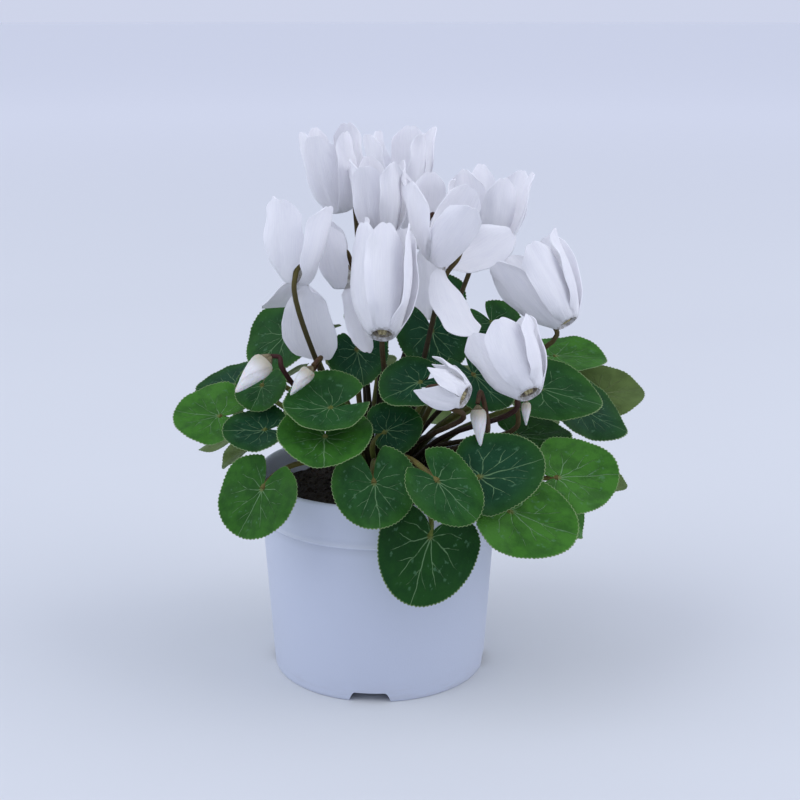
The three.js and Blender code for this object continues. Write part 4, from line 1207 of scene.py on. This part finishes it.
# A sepal hugs the dome of the tube; its rows run from the stalk to its tip.
sepalRows = [
    (0.5, 3.3, 0.8), (1.3, 2.6, 1.5), (2.2, 1.5, 2.2), (3.2, 0.4, 2.3), (4.1, -1.0, 1.8), (4.7, -2.5, 1.0),
    (5.05, -3.9, 0.15),
]
sepalGrid = []
for radius, height, wide in sepalRows:
    row = []
    for c in np.linspace(-1, 1, 7):
        turn = c * wide / max(radius, 1.2)
        row.append([radius * math.cos(turn), radius * math.sin(turn), height + 0.25 * c * c])
    sepalGrid.append(row)
sepalPoints, sepalFaces, _ = thinSheet(np.array(sepalGrid), 0.35)
sepals = ringShapeOf("sepals", sepalPoints, sepalFaces, 5, sepalSkin)

# Anthers lean together into a cone inside the mouth.
antherProfile = [(0, -0.4), (0.5, -0.2), (0.85, 0.8), (0.95, 2.4), (0.8, 4.2), (0.4, 5.4), (0, 5.6)]


def antherPlace(radius, height, turn):
    a = math.radians(turn)
    return [1.35 + height * 0.12 + radius * 0.8 * math.cos(a), radius * math.sin(a), height]


antherPoints, antherFaces = turnedGrid(antherProfile, 8, antherPlace)
anthers = ringShapeOf("anthers", antherPoints, antherFaces, 5, stamenSkin)


def onFlower(axes, points, height, grow=1.0):
    at, up, out, across = axes
    p = np.asarray(points) * grow
    return at + p[:, :1] * out + p[:, 1:2] * across + (p[:, 2:] + height) * up


def makeStalk(kind, number, axes, grown, base, calyx, seed):
    # The stalk of a flower or bud with its calyx, which has a height and a scale.
    body = Shape()
    points, faces = sepals
    body.add(onFlower(axes, points, *calyx), faces)
    path = hookedPath(axes, grown, base)
    share = np.linspace(0, 1, len(path))
    addLine(body, path, flowerShape["stalk"] * (1.15 - 0.25 * share), grown["red"], seed)
    stalk = body.piece(f"{kind}{number:02d}Stalk", [sepalSkin])
    tubeGrower.grow(stalk, Sides=flowerShape["stalkSides"], Finish=stalkSkin)
    settle(stalk, "stalk", f"{kind}_{number:02d}_stalk")


calyxUp = flowerShape["cupHeight"] + flowerShape["calyxGap"] - flowerShape["calyxSunk"]
for number, flower in enumerate(flowers, 1):
    axes = flowerAxes(flower["mouth"], flower["lean"], flower["side"])
    petals = sorted((petal[0] % 360, *petal[1:]) for petal in flower["petals"])
    body = Shape()
    for k, petal in enumerate(petals):
        before = (petal[0] - petals[k - 1][0]) % 360 / 2
        after = (petals[(k + 1) % 5][0] - petal[0]) % 360 / 2
        addPetal(body, axes, petal, before, after, flower, number * 10 + k)
    points, faces = anthers
    body.add(onFlower(axes, points, flowerShape["anthersUp"]), faces, finish=2)
    corolla = body.piece(f"flower{number:02d}Petals", [petalSkin, throatSkin, stamenSkin])
    corolla.data.set_sharp_from_angle(angle=math.radians(50))
    settle(corolla, "petal", f"flower_{number:02d}_petals")
    makeStalk("flower", number, axes, flower, flowerShape["cupHeight"], (calyxUp, 1.0), number)
print("flowers made:", len(flowers))

budShape = {"columns": 60, "rows": 30, "fold": 0.06, "twist": 0.32, "calyxUp": -0.6, "calyxFits": 5.6}
budProfile = [
    (0.0, 0.0), (0.5, 0.01), (0.82, 0.05), (0.97, 0.12), (1.0, 0.21), (0.92, 0.36), (0.76, 0.52), (0.56, 0.68),
    (0.36, 0.83), (0.18, 0.95), (0.0, 1.0),
]

# Buds: top, the way it points, side and distance of its stalk and how far that bows out (x, y), growing point,
# length of the stalk's foot if not the usual, the bud's length and radius, and how red the stalk is.
buds = [
    {"top": (-50, -42, 166), "point": (-60, 50), "side": 95, "clear": 7, "bow": (-6, 4), "root": (12, 318), "foot": -2,
     "size": (21, 5.5), "red": 1.1},
    {"top": (-30, -48, 163), "point": (-70, 40), "side": 165, "clear": 12, "root": (12, 340), "size": (15, 3.6),
     "red": 0.8},
    {"top": (45, -64, 149), "point": (20, 12), "side": 150, "clear": 7, "root": (17, 49), "size": (17, 3.6),
     "red": 0.8},
    {"top": (68, -46, 147), "point": (0, 10), "side": 220, "clear": 6, "root": (7, 58), "size": (11, 2.2),
     "red": 0.7},
]


def addBud(shape, axes, length, radius, seed):
    look = budShape
    profile = [(0.0, 0.0)]
    for share in np.linspace(0.02, 0.985, look["rows"]):
        profile.append((float(np.interp(share, [h for _, h in budProfile], [r for r, _ in budProfile])), share))
    profile.append((0.0, 1.0))
    marks = []

    def place(r, share, turn):
        around = (5 * turn / 360 + look["twist"] * share * 5 + seed * 0.3) % 1.0
        lap = around**1.3 if around < 0.9 else 0.87 * (1 - around) / 0.1
        grow = 1 + look["fold"] * (lap - 0.5) * float(smooth(0.03, 0.3, share))
        marks.append((share, around, seed))
        return flowerPoint(axes, r * radius * grow, -share * length, turn)

    points, faces = turnedGrid(list(reversed(profile)), look["columns"], place)
    shape.add(points, faces, petal=np.array(marks))


for number, bud in enumerate(buds, 1):
    axes = flowerAxes(bud["top"], (bud["point"][0] + 180, bud["point"][1]), bud["side"])
    length, radius = bud["size"]
    body = Shape()
    addBud(body, axes, length, radius, number)
    closed = body.piece(f"bud{number:02d}Petals", [budSkin])
    settle(closed, "petal", f"bud_{number:02d}_petals")
    makeStalk("bud", number, axes, bud, 0, (budShape["calyxUp"], radius / budShape["calyxFits"]), number + 20)
print("buds made:", len(buds))

studio = {
    "floorNear": (0.66, 0.68, 0.70), "floorFar": (0.95, 0.96, 0.98), "farFrom": 4.5, "floorReach": 40000,
    "cloud": (0.5, 0.5, 0.56), "aim": (0, 0, 0.13),
    "sky": (0.73, 0.78, 0.965), "skyPower": 0.85,
    "key": {"at": (-1.8, -0.7, 2.1), "size": 2.6, "power": 29, "colour": (0.94, 0.97, 1.0)},
    "fill": {"at": (1.9, -0.4, 1.7), "size": 2.4, "power": 23, "colour": (0.98, 0.98, 1.0)},
}


def floorFinish():
    paint = Finish("floorPaper", Roughness=0.85)
    away = paint.add("ShaderNodeVectorMath", {"operation": "LENGTH"}, {0: paint.place()}, out=1)
    cloud = paint.noise(paint.place(1.4), 1.0, 2.0)
    # Painted light: the floor is darker near the pot and lighter far off, making up for the lamps' fall-off so that it
    # reads evenly lit.
    colour = paint.blend(away.step(0.1, studio["farFrom"]), studio["floorNear"], studio["floorFar"])
    colour = paint.blend(cloud.step(0.4, 0.7) * away.step(2.0, 0.4) * 0.1, colour, studio["cloud"])
    paint.set("Base Color", colour)
    return paint.material


floorBody = Shape()
floorTurns = np.linspace(0, 2 * math.pi, 64, endpoint=False)
floorBody.add([[math.cos(a) * studio["floorReach"], math.sin(a) * studio["floorReach"], 0.0] for a in floorTurns],
              [tuple(range(64))])
floor = floorBody.piece("floor", [floorFinish()])

for name in ("key", "fill"):
    look = studio[name]
    lamp = bpy.data.lights.new(name, "AREA")
    lamp.shape, lamp.size, lamp.energy, lamp.color = "DISK", look["size"], look["power"], look["colour"]
    holder = bpy.data.objects.new(name, lamp)
    holder.location = look["at"]
    holder.rotation_euler = (Vector(studio["aim"]) - Vector(look["at"])).to_track_quat("-Z", "Y").to_euler()
    collection.objects.link(holder)

world = bpy.data.worlds.new("studio")
world.use_nodes = True
air = world.node_tree.nodes["Background"]
air.inputs["Color"].default_value = (*studio["sky"], 1)
air.inputs["Strength"].default_value = studio["skyPower"]
bpy.context.scene.world = world
bpy.context.scene.view_settings.view_transform = "Standard"
print("floor and light set")
